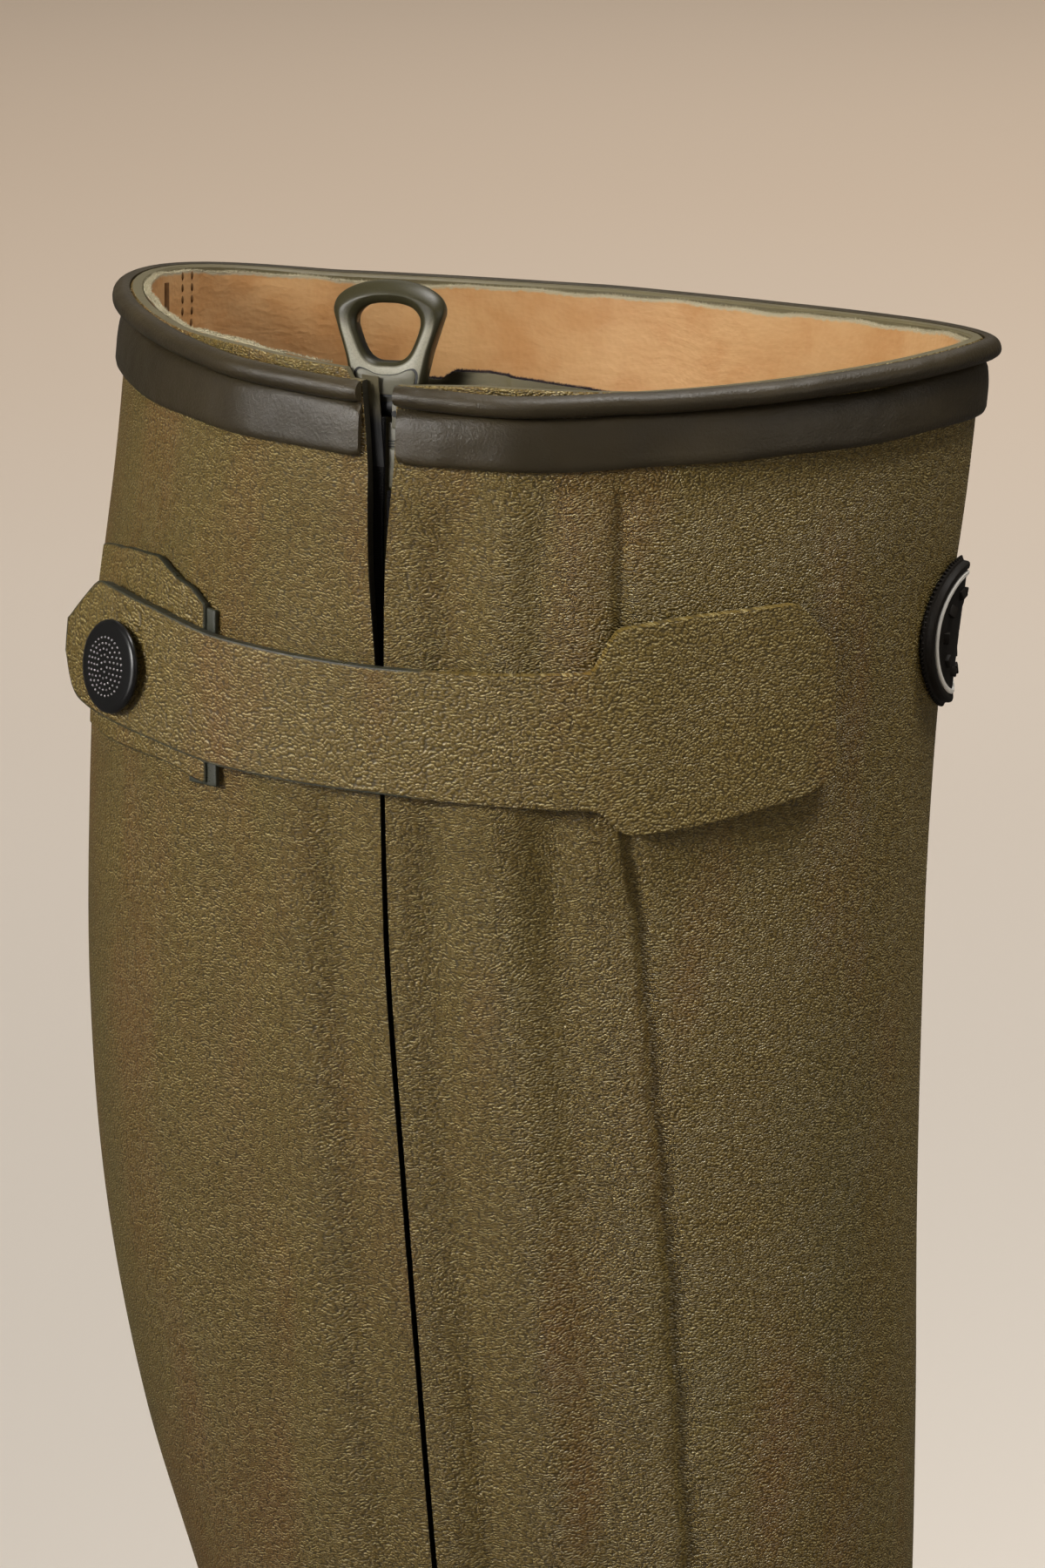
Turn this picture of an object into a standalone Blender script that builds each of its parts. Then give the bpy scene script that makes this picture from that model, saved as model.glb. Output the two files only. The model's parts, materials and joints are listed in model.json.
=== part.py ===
"""A tall rubber boot for the right foot, with a full-length side zip, a snap strap and a bound collar.

Frame: +X towards the toe, +Y towards the wearer's left (the inner side), +Z up.
The origin is on the floor, under the centre of the heel.
"""

import math

import bpy
import numpy as np
from mathutils import Matrix, Vector

MM = 0.001  # the tables and sizes below are in millimetres

# Driving sizes
GAP = 0.3  # between pieces that touch
WALL = 2.2  # rubber of the upper
BEAD_DROPS = (-.3, 3.5)  # top and bottom of the rolled edge, below the collar
BEAD_THICK = 2.6
BAND_DROPS = (3.8, 12.4)  # top and bottom edge of the collar band, below the collar
BAND_THICK = 1.1
STRAP_THICK = 2.0
STUD_PATCH_THICK = 1.5
SNAP_RADIUS = 7.6
BADGE_RADIUS = 12.5
TAPE_WIDTH = 11.0
TAPE_THICK = 0.9
GUSSET_THICK = 1.5
GUSSET_BULGE = 12.0  # how far the folded gusset stands off the wall at the collar
ZIP_END = 318.0  # where the zip stops, in millimetres of travel below the collar
INFLARE = 7.0  # the forefoot curves inwards by this much
BALL_STAGGER = 0.035  # the inner ball lies this share further forward than the outer one
SKEW_REACH = .2  # share of a section over which its back end is skewed
SKEW_CURVE = 1.2
ARCH_PINCH = 0.14  # the inner waist is narrower by this share

# Sole heights at the feather edge, where upper and sole meet
HEEL_SEAT = 31.5
BALL_SEAT = 18.5
TOE_SPRING = 12.0
SEAT_FALL = (22.0, 150.0)  # the seat comes down between these places along the foot
SPRING_START = 172.0
SPRING_CURVE = 1.7
TOE_END = 254.0

# Sections of the last from the collar down to the feather edge. Each lies in a plane across the boot.
# back and front: the section's two ends in the middle plane. dip: how far its sides sag below that line.
# follow: 1 where it lies along the seat of the sole. foot: 1 where it has the curve of the foot.
# wide_from and wide_to: shares of its length between which it keeps the widths heel, waist and ball.
# back_skew: how far its back end lies towards the inner side.
SECTION_COLUMNS = (
    "back_x", "back_z", "front_x", "front_z", "dip", "follow", "foot",
    "wide_from", "wide_to", "heel", "waist", "ball", "back_round", "front_round",
    "back_skew",
)
SECTIONS = (
    (-38.0, 427, 103.4, 421.7, 4.4, 0, 0, .48, .50, 57.0, 57.0, 57.0, 2.0, 1.45, 12.0),
    (-39.2, 402, 100.8, 397.0, 3.6, 0, 0, .48, .50, 57.0, 57.0, 57.0, 2.1, 1.55, 6.0),
    (-41.4, 375, 97.3, 371.0, 2.6, 0, 0, .48, .50, 56.8, 56.8, 56.8, 2.2, 1.65, 0),
    (-43.0, 343, 95.0, 340.0, 1.6, 0, 0, .47, .50, 56.0, 56.0, 56.0, 2.2, 1.75, 0),
    (-43.2, 312, 94.0, 310.0, .8, 0, 0, .47, .50, 55.0, 55.0, 55.0, 2.2, 1.85, 0),
    (-40.8, 277, 93.4, 276.0, .2, 0, 0, .46, .50, 53.0, 53.0, 53.0, 2.15, 1.9, 0),
    (-34.7, 243, 93.4, 242.0, 0, 0, 0, .46, .50, 50.5, 50.5, 50.5, 2.1, 1.95, 0),
    (-24.3, 207, 92.9, 208.0, 0, 0, 0, .46, .50, 47.0, 47.0, 47.0, 2.05, 2.0, 0),
    (-15.5, 171, 91.6, 176.0, 0, 0, 0, .45, .51, 43.0, 43.0, 43.0, 2.0, 2.0, 0),
    (-12.5, 135, 94.0, 148.0, 0, 0, .05, .41, .53, 40.0, 40.0, 40.0, 2.0, 2.0, 0),
    (-15.5, 106, 106.5, 126.5, 0, 0, .15, .34, .55, 37.8, 38.8, 38.0, 2.0, 1.9, 0),
    (-22.5, 84, 129.0, 109.5, 0, 0, .3, .28, .57, 36.6, 38.4, 37.6, 2.05, 1.9, 0),
    (-28.8, 67, 159.0, 95.0, 0, .2, .5, .22, .59, 36.0, 38.0, 39.5, 2.15, 1.95, 0),
    (-32.8, 55, 192.0, 82.5, 0, .4, .7, .18, .61, 35.6, 37.2, 43.5, 2.2, 2.05, 0),
    (-35.2, 45.5, 223.0, 70.5, 0, .6, .85, .155, .63, 35.2, 36.0, 47.0, 2.3, 2.2, 0),
    (-36.3, 38.8, 244.0, 56.5, 0, .8, .95, .14, .65, 35.0, 35.0, 49.5, 2.3, 2.3, 0),
    (-36.4, 34.6, 252.3, 42.5, 0, .95, 1, .135, .665, 34.6, 34.2, 50.6, 2.3, 2.35, 0),
    (-36.0, 31.5, 253.5, 30.5, 0, 1, 1, .13, .67, 34.0, 33.6, 50.4, 2.3, 2.35, 0),
)

# The zip's line: travel below the collar, its place along the boot and how wide the slit stands open
ZIP_LINE = (
    (0, 13.0, 6.0),
    (15, 13.2, 4.2),
    (30, 12.8, 2.8),
    (46, 13.2, 1.5),
    (62, 13.6, .9),
    (95, 14.3, .9),
    (130, 16.4, .9),
    (160, 18.3, .9),
    (215, 22.0, .9),
    (270, 27.0, .9),
    (ZIP_END, 31.0, .9),
)

# Soft folds of the wall beside the zip: arc in front of the zip line, half width and height, where a
# trough is negative
FOLDS = (
    (-27.0, 6.0, -.5),
    (-7.8, 4.5, -.8),
    (6.4, 4.0, -1.0),
    (23.6, 5.5, -1.1),
)
FLAP_RISE = 1.1  # the flap in front of the zip is two plies, and ends in a step
FLAP_EDGE = (40.2, 41.8)
FLAP_BACK = (-26.0, -12.0)
COLLAR_FLAT = (13.0, 19.0)  # travel over which folds and flap come out from under the collar band
FOLDS_FADE = (235.0, 300.0)  # travel over which they fade into the plain ankle

# The strap from its tail to the front of its patch: arc in front of the zip, top and bottom edge as
# travel below the collar, and how far its under side stands off the wall.
STRAP = (
    (-60.5, 50.0, 54.0, 5.4),
    (-58.5, 48.0, 59.0, 5.1),
    (-56.5, 46.0, 60.9, 4.8),
    (-52.5, 42.0, 62.0, 4.2),
    (-46.0, 42.6, 63.0, 3.4),
    (-39.0, 43.3, 63.9, 2.7),
    (-28.0, 45.0, 65.7, 2.2),
    (-14.0, 45.8, 66.5, 1.8),
    (0, 46.2, 67.0, 1.6),
    (16.0, 46.1, 67.8, 1.6),
    (33.5, 45.9, 69.0, 1.6),
    (37.5, 38.7, 73.2, 1.5),
    (41.0, 38.2, 73.3, 1.5),
    (46.0, 37.8, 73.0, .8),
    (52.0, 37.4, 72.4, .4),
    (61.0, 37.2, 71.0, .4),
    (69.0, 37.1, 69.8, .4),
    (74.0, 42.8, 67.8, .4),
    (75.6, 45.6, 65.4, .4),
)
STUD_PATCH = (
    (-64.0, 38.2, 66.8, .35),
    (-56.0, 37.0, 67.5, .35),
    (-46.0, 35.8, 67.6, .35),
    (-41.5, 35.9, 67.7, .35),
    (-37.8, 37.6, 68.0, .35),
    (-32.5, 39.4, 69.6, .35),
    (-30.0, 45.2, 69.6, .35),
)
SNAP_AT = (-46.7, 54.0)  # arc and travel of the snap
BADGE_AT = (0.0, 49.0)  # arc past the shin line and travel

# Side of the sole, as steps and a groove: share of its height from the top, and how far it stands past
# the upper
SOLE_SIDE = (
    (0, 2.2), (.1, 3.4), (.3, 3.6), (.35, 2.3), (.45, 2.3), (.5, 3.4), (.8, 3.2), (1, 2.0),
)
LUG_DEPTH = 4.5
LUG_INSET = 1.0
LUG_SUNK = 1.5  # how far a lug reaches up into the sole
ARCH_HEIGHT = 13.0
HEEL_BREAST = (38.0, 45.0)
ARCH_END = (84.0, 106.0)
HEEL_LUG_ROWS = ((-37.0, -21.0), (-16.0, 8.0), (13.0, 36.0))
FOREFOOT_LUG_ROWS = tuple((start, start + 15.0) for start in range(106, 240, 20))
CENTRE_LUG_HALF = 13.0
LUG_GROOVE = 5.0

INSOLE_THICK = 3.0
INSOLE_ROOM = 2.0  # all round, inside the upper

# The zip's slider and pull, in the slider's own frame: its pin is held at one end, in front of the zip
PIN_TRAVEL = 4.5  # below the collar
PIN_DEPTH = 5.9  # inside the outer wall
SLIDER_TWIST = 5.9
SLIDER_SIDES = (.4, 5.0)  # its edges in front of the zip line
SLIDER_ENDS = (-13.0, -2.4)
SLIDER_HALF_THICK = 2.0
PIN_RADIUS = .8
PIN_ROOM = .1
PIN_HEAD = (1.4, .7)  # radius and length
KNUCKLE_RADIUS = 1.9
KNUCKLE_HALF = 2.1
PULL_THICK = 5.0
PULL_CHAMFER = .9
PULL_LEAN = -4.0  # the pull leans this many degrees into the boot
NECK_ENDS = (1.0, 6.0)  # of the pull's neck, up from the pin
NECK_INSET = .15  # thinner than the knuckle on each side
EAR_INSET = .2  # of the slider's ear inside its plate
EAR_SUNK = 1.0  # how far the ear reaches down into the plate
PULL_OUTLINE = (
    (-5.4, 2.8), (5.4, 2.8), (6.1, 5.0), (6.9, 8.5), (8.2, 12.6), (9.0, 15.2), (8.3, 17.2), (6.2, 18.7),
    (3.2, 19.6), (0, 19.9), (-3.2, 19.6), (-6.2, 18.7), (-8.3, 17.2), (-9.0, 15.2), (-8.2, 12.6),
    (-6.9, 8.5), (-6.1, 5.0),
)
PULL_HOLE = (
    (-1.6, 6.4), (1.6, 6.4), (3.4, 7.4), (4.8, 9.6), (5.8, 12.6), (5.6, 14.6), (4.2, 16.2), (2.0, 17.0),
    (-2.0, 17.0), (-4.2, 16.2), (-5.6, 14.6), (-5.8, 12.6), (-4.8, 9.6), (-3.4, 7.4),
)

KHAKI = (.105, .078, .028)
DARK_BROWN = (.035, .029, .022)
BLACK = (.012, .012, .013)
SOLE_BROWN = (.05, .04, .022)
TAN = (.52, .27, .11)
OLIVE_GREY = (.09, .085, .06)


# Small helpers

def clear_scene():
    for obj in list(bpy.data.objects):
        bpy.data.objects.remove(obj)


def material(name, colour, roughness, metallic=0.0):
    """A plain Principled finish."""
    made = bpy.data.materials.new(name)
    made.use_nodes = True
    shader = made.node_tree.nodes["Principled BSDF"]
    shader.inputs["Base Color"].default_value = (*colour, 1)
    shader.inputs["Roughness"].default_value = roughness
    shader.inputs["Metallic"].default_value = metallic
    return made


def mesh_object(name, points, faces, finish):
    """A named object from points in millimetres, shaded smooth with its real edges kept sharp."""
    mesh = bpy.data.meshes.new(name)
    mesh.from_pydata([tuple(c * MM for c in p) for p in points], [], faces)
    mesh.validate()
    mesh.materials.append(finish)
    mesh.shade_smooth()
    mesh.set_sharp_from_angle(angle=math.radians(40))
    obj = bpy.data.objects.new(name, mesh)
    bpy.context.scene.collection.objects.link(obj)
    return obj


def ease(x):
    """0 below 0, 1 above 1, and a smooth rise between."""
    x = np.clip(x, 0, 1)
    return x * x * (3 - 2 * x)


def between(x, limits):
    return (x - limits[0]) / (limits[1] - limits[0])


def curve_through(knots, values, x):
    """A smooth curve through the values at the knots, with the slopes that three neighbours give."""
    knots = np.asarray(knots, float)
    values = np.asarray(values, float)
    steps = np.diff(knots)
    slopes = np.diff(values, axis=0) / steps.reshape(-1, *[1] * (values.ndim - 1))
    tangents = np.empty_like(values)
    tangents[0], tangents[-1] = slopes[0], slopes[-1]
    for i in range(1, len(knots) - 1):
        share = steps[i] / (steps[i - 1] + steps[i])
        tangents[i] = share * slopes[i - 1] + (1 - share) * slopes[i]
    i = int(np.clip(np.searchsorted(knots, x) - 1, 0, len(knots) - 2))
    h = steps[i]
    t = (x - knots[i]) / h
    return (
        (2 * t**3 - 3 * t**2 + 1) * values[i] + (t**3 - 2 * t**2 + t) * h * tangents[i]
        + (3 * t**2 - 2 * t**3) * values[i + 1] + (t**3 - t**2) * h * tangents[i + 1]
    )


# The last: sections, rings and the outer wall

def seat_height(x):
    """Height of the feather edge: level under the heel, down to the ball, and up to the toe."""
    fall = (HEEL_SEAT - BALL_SEAT) * ease(between(x, SEAT_FALL))
    rise = np.clip(between(x, (SPRING_START, TOE_END)), 0, None) ** SPRING_CURVE
    return HEEL_SEAT - fall + TOE_SPRING * rise


def section_travels():
    """How far each section lies below the collar, as the mean path of its two ends."""
    ends = np.array([row[:4] for row in SECTIONS], float)
    steps = np.diff(ends, axis=0)
    paths = (np.hypot(steps[:, 0], steps[:, 1]) + np.hypot(steps[:, 2], steps[:, 3])) / 2
    return np.concatenate([[0], np.cumsum(paths)])


TRAVELS = section_travels()
FEATHER = float(TRAVELS[-1])


def section_at(travel):
    values = curve_through(TRAVELS, SECTIONS, travel)
    return dict(zip(SECTION_COLUMNS, values))


def zip_at(travel):
    """(place along the boot, slit width) of the zip line."""
    travel = min(travel, ZIP_END)
    rows = np.array(ZIP_LINE, float)
    return curve_through(rows[:, 0], rows[:, 1:], travel)


def half_widths(share, row, side):
    """Half width of a section at each share of its length, on the outer (-1) or inner (+1) side."""
    shift = side * BALL_STAGGER * row["foot"]
    start, end = row["wide_from"], row["wide_to"] + shift
    middle = (start + end) / 2
    waist = row["waist"] * (1 - (ARCH_PINCH if side > 0 else -ARCH_PINCH / 3) * row["foot"])
    width = np.where(
        share < middle,
        row["heel"] + (waist - row["heel"]) * ease(between(share, (start, middle))),
        waist + (row["ball"] - waist) * ease(between(share, (middle, end))),
    )
    back = np.clip(1 - share / start, 0, 1) ** row["back_round"]
    front = np.clip(between(share, (end, 1)), 0, 1) ** row["front_round"]
    return width * (1 - back) ** (1 / row["back_round"]) * (1 - front) ** (1 / row["front_round"])


class Ring:
    """One section of the outer wall, measured along its arc from the zip line, forwards positive."""

    STEPS = 160

    def __init__(self, travel):
        row = section_at(travel)
        share = (1 - np.cos(np.linspace(0, math.pi, self.STEPS + 1))) / 2
        outer = self.side_points(row, share, -1)
        inner = self.side_points(row, share, 1)
        self.points = np.concatenate([outer, inner[-2:0:-1]])
        closed = np.concatenate([self.points, self.points[:1]])
        lengths = np.linalg.norm(np.diff(closed, axis=0), axis=1)
        self.arcs = np.concatenate([[0], np.cumsum(lengths)])
        self.closed = closed
        self.length = self.arcs[-1]
        self.zip_arc = np.interp(zip_at(travel)[0], outer[:, 0], self.arcs[: self.STEPS + 1])
        self.front = self.arcs[self.STEPS] - self.zip_arc
        self.back = -self.zip_arc

    @staticmethod
    def side_points(row, share, side):
        x = row["back_x"] + share * (row["front_x"] - row["back_x"])
        follow = row["follow"]
        back_lift = row["back_z"] - follow * seat_height(row["back_x"])
        front_lift = row["front_z"] - follow * seat_height(row["front_x"])
        z = back_lift + share * (front_lift - back_lift) + follow * seat_height(x)
        z = z - row["dip"] * 4 * share * (1 - share)
        centre = INFLARE * row["foot"] * ease(between(share, (.3, 1)))
        centre = centre + row["back_skew"] * np.clip(1 - share / SKEW_REACH, 0, 1) ** SKEW_CURVE
        return np.stack([x, centre + side * half_widths(share, row, side), z], axis=-1)

    def at(self, arcs):
        place = np.mod(np.asarray(arcs, float) + self.zip_arc, self.length)
        return np.stack([np.interp(place, self.arcs, self.closed[:, k]) for k in range(3)], axis=-1)


RINGS = {}


def ring(travel):
    key = round(float(travel), 4)
    if key not in RINGS:
        RINGS[key] = Ring(key)
    return RINGS[key]


def wrapped(travel, arcs):
    """Arcs brought to the nearer way round from the zip line."""
    length = ring(travel).length
    return np.mod(np.asarray(arcs, float) + length / 2, length) - length / 2


def relief_share(travel):
    """How much of the folds and flap shows: none under the collar band, none at the ankle."""
    return ease(between(travel, COLLAR_FLAT)) * (1 - ease(between(travel, FOLDS_FADE)))


def fold_height(travel, arcs):
    """Height of the soft folds beside the zip, inside and out."""
    arcs = wrapped(travel, arcs)
    height = np.zeros_like(arcs)
    for arc, half_width, fold in FOLDS:
        height = height + fold * np.exp(-(((arcs - arc) / half_width) ** 2))
    return height * relief_share(travel)


def flap_height(travel, arcs):
    """Height of the second ply of the flap, on the outside only, with its step in front."""
    arcs = wrapped(travel, arcs)
    height = FLAP_RISE * ease(between(arcs, FLAP_BACK)) * (1 - ease(between(arcs, FLAP_EDGE)))
    return height * relief_share(travel)


def wall_points(travel, arcs, lift=0.0):
    """(points, outward normals) on the smooth outer wall, lifted off it."""
    arcs = np.asarray(arcs, float)
    step = 1.0
    high, low = max(travel - step, 0), min(travel + step, FEATHER)
    along = ring(travel).at(arcs + step) - ring(travel).at(arcs - step)
    down = ring(low).at(arcs) - ring(high).at(arcs)
    normals = np.cross(along, -down)
    normals /= np.linalg.norm(normals, axis=-1, keepdims=True)
    return ring(travel).at(arcs) + normals * np.reshape(lift, (-1, 1)), normals


def wall_point(travel, arc, lift=0.0):
    points, normals = wall_points(travel, [arc], lift)
    return points[0], normals[0]


# Solids made from grids of points

def sheet_solid(name, top, under, finish):
    """A closed sheet from two grids with the same rows and columns; top is the outer side."""
    rows, columns = len(top), len(top[0])
    points = [p for grid in (top, under) for line in grid for p in line]

    def index(side, i, j):
        return side * rows * columns + i * columns + j

    faces = []
    for i in range(rows - 1):
        for j in range(columns - 1):
            faces.append([index(0, *p) for p in ((i, j), (i + 1, j), (i + 1, j + 1), (i, j + 1))])
            faces.append([index(1, *p) for p in ((i, j), (i, j + 1), (i + 1, j + 1), (i + 1, j))])
    border = [(0, j) for j in range(columns)] + [(i, columns - 1) for i in range(1, rows)]
    border += [(rows - 1, j) for j in range(columns - 2, -1, -1)] + [(i, 0) for i in range(rows - 2, 0, -1)]
    for a, b in zip(border, border[1:] + border[:1]):
        faces.append([index(0, *a), index(0, *b), index(1, *b), index(1, *a)])
    return mesh_object(name, points, faces, finish)


def lathe_solid(name, profile, place, finish, sides=24):
    """A turned solid: the profile runs from the axis underneath, round the rim, to the axis on top."""
    points = [place(0, 0, profile[0][1])]
    for radius, height in profile[1:-1]:
        points += [place(radius, 2 * math.pi * k / sides, height) for k in range(sides)]
    points.append(place(0, 0, profile[-1][1]))
    rings = len(profile) - 2
    faces = []
    for k in range(sides):
        n = (k + 1) % sides
        faces.append([0, 1 + n, 1 + k])
        for r in range(rings - 1):
            a, b = 1 + r * sides, 1 + (r + 1) * sides
            faces.append([a + k, a + n, b + n, b + k])
        last = 1 + (rings - 1) * sides
        faces.append([last + k, last + n, len(points) - 1])
    return mesh_object(name, points, faces, finish)


# Pieces

def upper_travels():
    """Section lines of the upper: even on the shaft, closer at the collar, the instep and the toe."""
    shaft = [0, 5, 12, 22, 34, 47, 60, 74, 90, 108, 127, 147, 168, 190, 213, 236, 258, 280, 300, ZIP_END]
    foot = list(np.linspace(ZIP_END, FEATHER, 17))[1:]
    return shaft + foot


FLAP_ARCS = (0, 3, 6.4, 10.5, 15, 19.5, 23.6, 28, 34, FLAP_EDGE[0], FLAP_EDGE[1])
REAR_ARCS = (-34, -27, -19, -12, -8, -4, 0)
SHIN_COLUMNS = 5  # between the flap and the shin
INNER_COLUMNS = 15  # round the inner side, from shin to back
CALF_COLUMNS = 3  # from the back to the rear folds


def column_arcs(travel):
    """Arcs of the upper's columns from the zip's front edge right round to its rear edge."""
    section = ring(travel)
    foot = ease(between(travel, (ZIP_END - 20, ZIP_END + 60)))
    slit = zip_at(travel)[1] / 2 if travel < ZIP_END else 0
    lead = len(FLAP_ARCS) - 1 + SHIN_COLUMNS
    to_shin = 1 - (1 - np.linspace(0, 1, SHIN_COLUMNS + 1)[1:]) ** 1.35
    shin = FLAP_ARCS[-1] + (section.front - FLAP_ARCS[-1]) * to_shin
    front = np.concatenate([FLAP_ARCS, shin])
    front = (1 - foot) * front + foot * section.front * np.linspace(0, 1, lead + 1) ** .85
    front[0] += slit
    inner_length = section.length + section.back - section.front
    even = np.linspace(0, 1, INNER_COLUMNS + 1)[1:]
    close_at_ends = (even + (1 - np.cos(math.pi * even)) / 2) / 2
    inner = section.front + inner_length * close_at_ends
    trail = len(REAR_ARCS) - 1 + CALF_COLUMNS
    calf = section.back + (REAR_ARCS[0] - section.back) * np.linspace(0, 1, CALF_COLUMNS + 1)[1:]
    rear = np.concatenate([calf, REAR_ARCS[1:]])
    rear = (1 - foot) * rear + foot * section.back * (1 - np.linspace(0, 1, trail + 1)[1:])
    rear[-1] -= slit
    return np.concatenate([front, inner, section.length + rear])


def make_upper(finish):
    """The hollow shell: its columns meet along the zip line below the slit and stay apart in it."""
    travels = upper_travels()
    outside, inside, indices = [], [], []
    count = 0
    for travel in travels:
        arcs = column_arcs(travel)
        base, normals = wall_points(travel, arcs)
        folds = fold_height(travel, arcs).reshape(-1, 1)
        flap = flap_height(travel, arcs).reshape(-1, 1)
        keep = len(arcs) if travel < ZIP_END else len(arcs) - 1
        outside += list((base + normals * (folds + flap))[:keep])
        inside += list((base + normals * (folds - WALL))[:keep])
        indices.append([count + j % keep for j in range(len(arcs))])
        count += keep
    faces = []
    columns = len(indices[0])
    for upper_row, lower_row in zip(indices, indices[1:]):
        for j in range(columns - 1):
            a, b, c, d = upper_row[j], lower_row[j], lower_row[j + 1], upper_row[j + 1]
            faces.append([a, b, c, d])
            faces.append([count + a, count + d, count + c, count + b])
    for j in range(columns - 1):
        a, b = indices[0][j], indices[0][j + 1]
        faces.append([a, b, count + b, count + a])
        a, b = indices[-1][j], indices[-1][j + 1]
        faces.append([b, a, count + a, count + b])
    for i, travel in enumerate(travels[:-1]):
        if travel < ZIP_END:
            a, b = indices[i][0], indices[i + 1][0]
            faces.append([b, a, count + a, count + b])
            a, b = indices[i][-1], indices[i + 1][-1]
            faces.append([a, b, count + b, count + a])
    return mesh_object("upper", outside + inside, faces, finish)


def swept_solid(name, profile, finish):
    """A closed profile of (travel, lift off the wall) points, swept round the collar from edge to edge."""
    count = len(profile)
    lines = []
    for travel, lift in profile:
        level = max(travel, 0)
        lines.append(wall_points(level, column_arcs(level), lift)[0] + [0, 0, max(-travel, 0)])
    columns = len(lines[0])
    points = [lines[k][j] for j in range(columns) for k in range(count)]
    faces = []
    for j in range(columns - 1):
        for k in range(count):
            n = (k + 1) % count
            a, b = j * count, (j + 1) * count
            faces.append([a + k, a + n, b + n, b + k])
    faces.append(list(range(count - 1, -1, -1)))
    faces.append([(columns - 1) * count + k for k in range(count)])
    return mesh_object(name, points, faces, finish)


def make_collar_band(finish):
    top, bottom = BAND_DROPS
    inside, outside = GAP + .1, GAP + BAND_THICK
    soft = .4
    profile = [
        (top, inside), (top, outside - soft), (top + soft, outside), (bottom - soft, outside),
        (bottom, outside - soft), (bottom, inside),
    ]
    return swept_solid("collar_band", profile, finish)


def make_collar_bead(finish):
    """The rolled edge, flat against the wall and round outside."""
    top, bottom = BEAD_DROPS
    middle, half = (top + bottom) / 2, (bottom - top) / 2
    profile = [(top + .3, GAP)]
    for angle in (15, 50, 90, 130, 165):
        turn = math.radians(angle)
        profile.append((middle - half * math.cos(turn), GAP + .5 + (BEAD_THICK - .5) * math.sin(turn)))
    profile.append((bottom - .3, GAP))
    return swept_solid("collar_bead", profile, finish)


def strip_rows(table, pieces, edge_rows=5):
    """Rows of (arc, travels from top to bottom edge, lift) along a strap, closer than its table's rows."""
    rows = np.array(table, float)
    places = []
    for start, end in zip(rows, rows[1:]):
        steps = max(1, int(math.ceil((end[0] - start[0]) / pieces)))
        places += [start + (end - start) * k / steps for k in range(steps)]
    places.append(rows[-1])
    return [(p[0], np.linspace(p[1], p[2], edge_rows), p[3]) for p in places]


def strip_solid(name, table, thick, finish, pieces=6.0):
    """A flat strap or patch that lies round the shaft at the lifts its table gives."""
    top, under = [], []
    for arc, travels, lift in strip_rows(table, pieces):
        top.append([wall_point(t, arc, lift + thick)[0] for t in travels])
        under.append([wall_point(t, arc, lift)[0] for t in travels])
    top = [list(line) for line in zip(*top)]
    under = [list(line) for line in zip(*under)]
    return sheet_solid(name, top, under, finish)


def make_snap_cap(finish):
    """The snap's cap: a flat rim with a low dome in it, square to the strap."""
    arc, travel = SNAP_AT
    lift = np.interp(arc, [row[0] for row in STRAP], [row[3] for row in STRAP]) + STRAP_THICK + GAP
    centre, normal = wall_point(travel, arc, lift)
    across = np.cross([0, 0, 1], normal)
    across /= np.linalg.norm(across)
    upright = np.cross(normal, across)

    def place(radius, angle, height):
        return centre + radius * (math.cos(angle) * across + math.sin(angle) * upright) + height * normal

    r = SNAP_RADIUS
    profile = [(0, .4), (r - .8, .4), (r, .8), (r - .2, 1.4), (r - .8, 1.6), (r / 2, 1.9), (0, 2.1)]
    return lathe_solid("snap_cap", profile, place, finish)


def make_badge(finish):
    """A round badge that lies on the shin, with a raised rim."""
    past_front, travel = BADGE_AT
    start = ring(travel).front + past_front

    def place(radius, angle, height):
        return wall_point(travel - radius * math.sin(angle), start + radius * math.cos(angle), height)[0]

    r = BADGE_RADIUS
    low = .5
    profile = [
        (0, low), (r / 3, low), (r * 2 / 3, low), (r, low), (r, 1.9), (r - .5, 2.3), (r - 1.6, 2.3),
        (r - 2.1, 1.9), (r * 2 / 3, 1.9), (r / 3, 1.9), (0, 1.9),
    ]
    return lathe_solid("shin_badge", profile, place, finish)


def zip_travels(start, step):
    steps = int((ZIP_END - 4 - start) / step)
    return np.linspace(start, ZIP_END - 4, steps + 1)


def make_tape(name, side, start, finish):
    """One half of the zip: a tape along the inside of the slit."""
    top, under = [], []
    outside = -(WALL + GAP)
    for travel in zip_travels(start, 19.0):
        arcs = side * np.array([.25, TAPE_WIDTH / 3, TAPE_WIDTH * 2 / 3, TAPE_WIDTH])
        arcs = np.sort(arcs)
        folds = fold_height(travel, arcs)
        top.append(list(wall_points(travel, arcs, folds + outside)[0]))
        under.append(list(wall_points(travel, arcs, folds + outside - TAPE_THICK)[0]))
    return sheet_solid(name, top, under, finish)


GUSSET_ARCS = (-18, -15.5, -12, -7, -2, 4, 8, 12, 17, 25, 33, 40)
GUSSET_START = 3.0  # travel of its top edge, clear of the pull as it tilts
TAPE_STARTS = (18.0, 6.0)  # travel of the front and the rear tape's top edge


def gusset_lift(travel, arcs):
    """How far the gusset's outer side lies inside the wall: flat at both edges, bulged behind the slit."""
    arcs = np.asarray(arcs, float)
    shape = np.interp(arcs, (-18, -15.5, -12, -7, 6, 16, 40), (0, .3, .75, 1, 1, .82, 0))
    fade = 1 - .86 * ease(between(travel, (20, ZIP_END - 40)))
    room = 2 * GAP + TAPE_THICK
    tape = np.interp(np.abs(arcs), (TAPE_WIDTH + 1.0, TAPE_WIDTH + 3.5), (room + .2, GAP))
    return fold_height(travel, arcs) - WALL - np.maximum(tape, GAP + GUSSET_BULGE * fade * shape)


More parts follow.
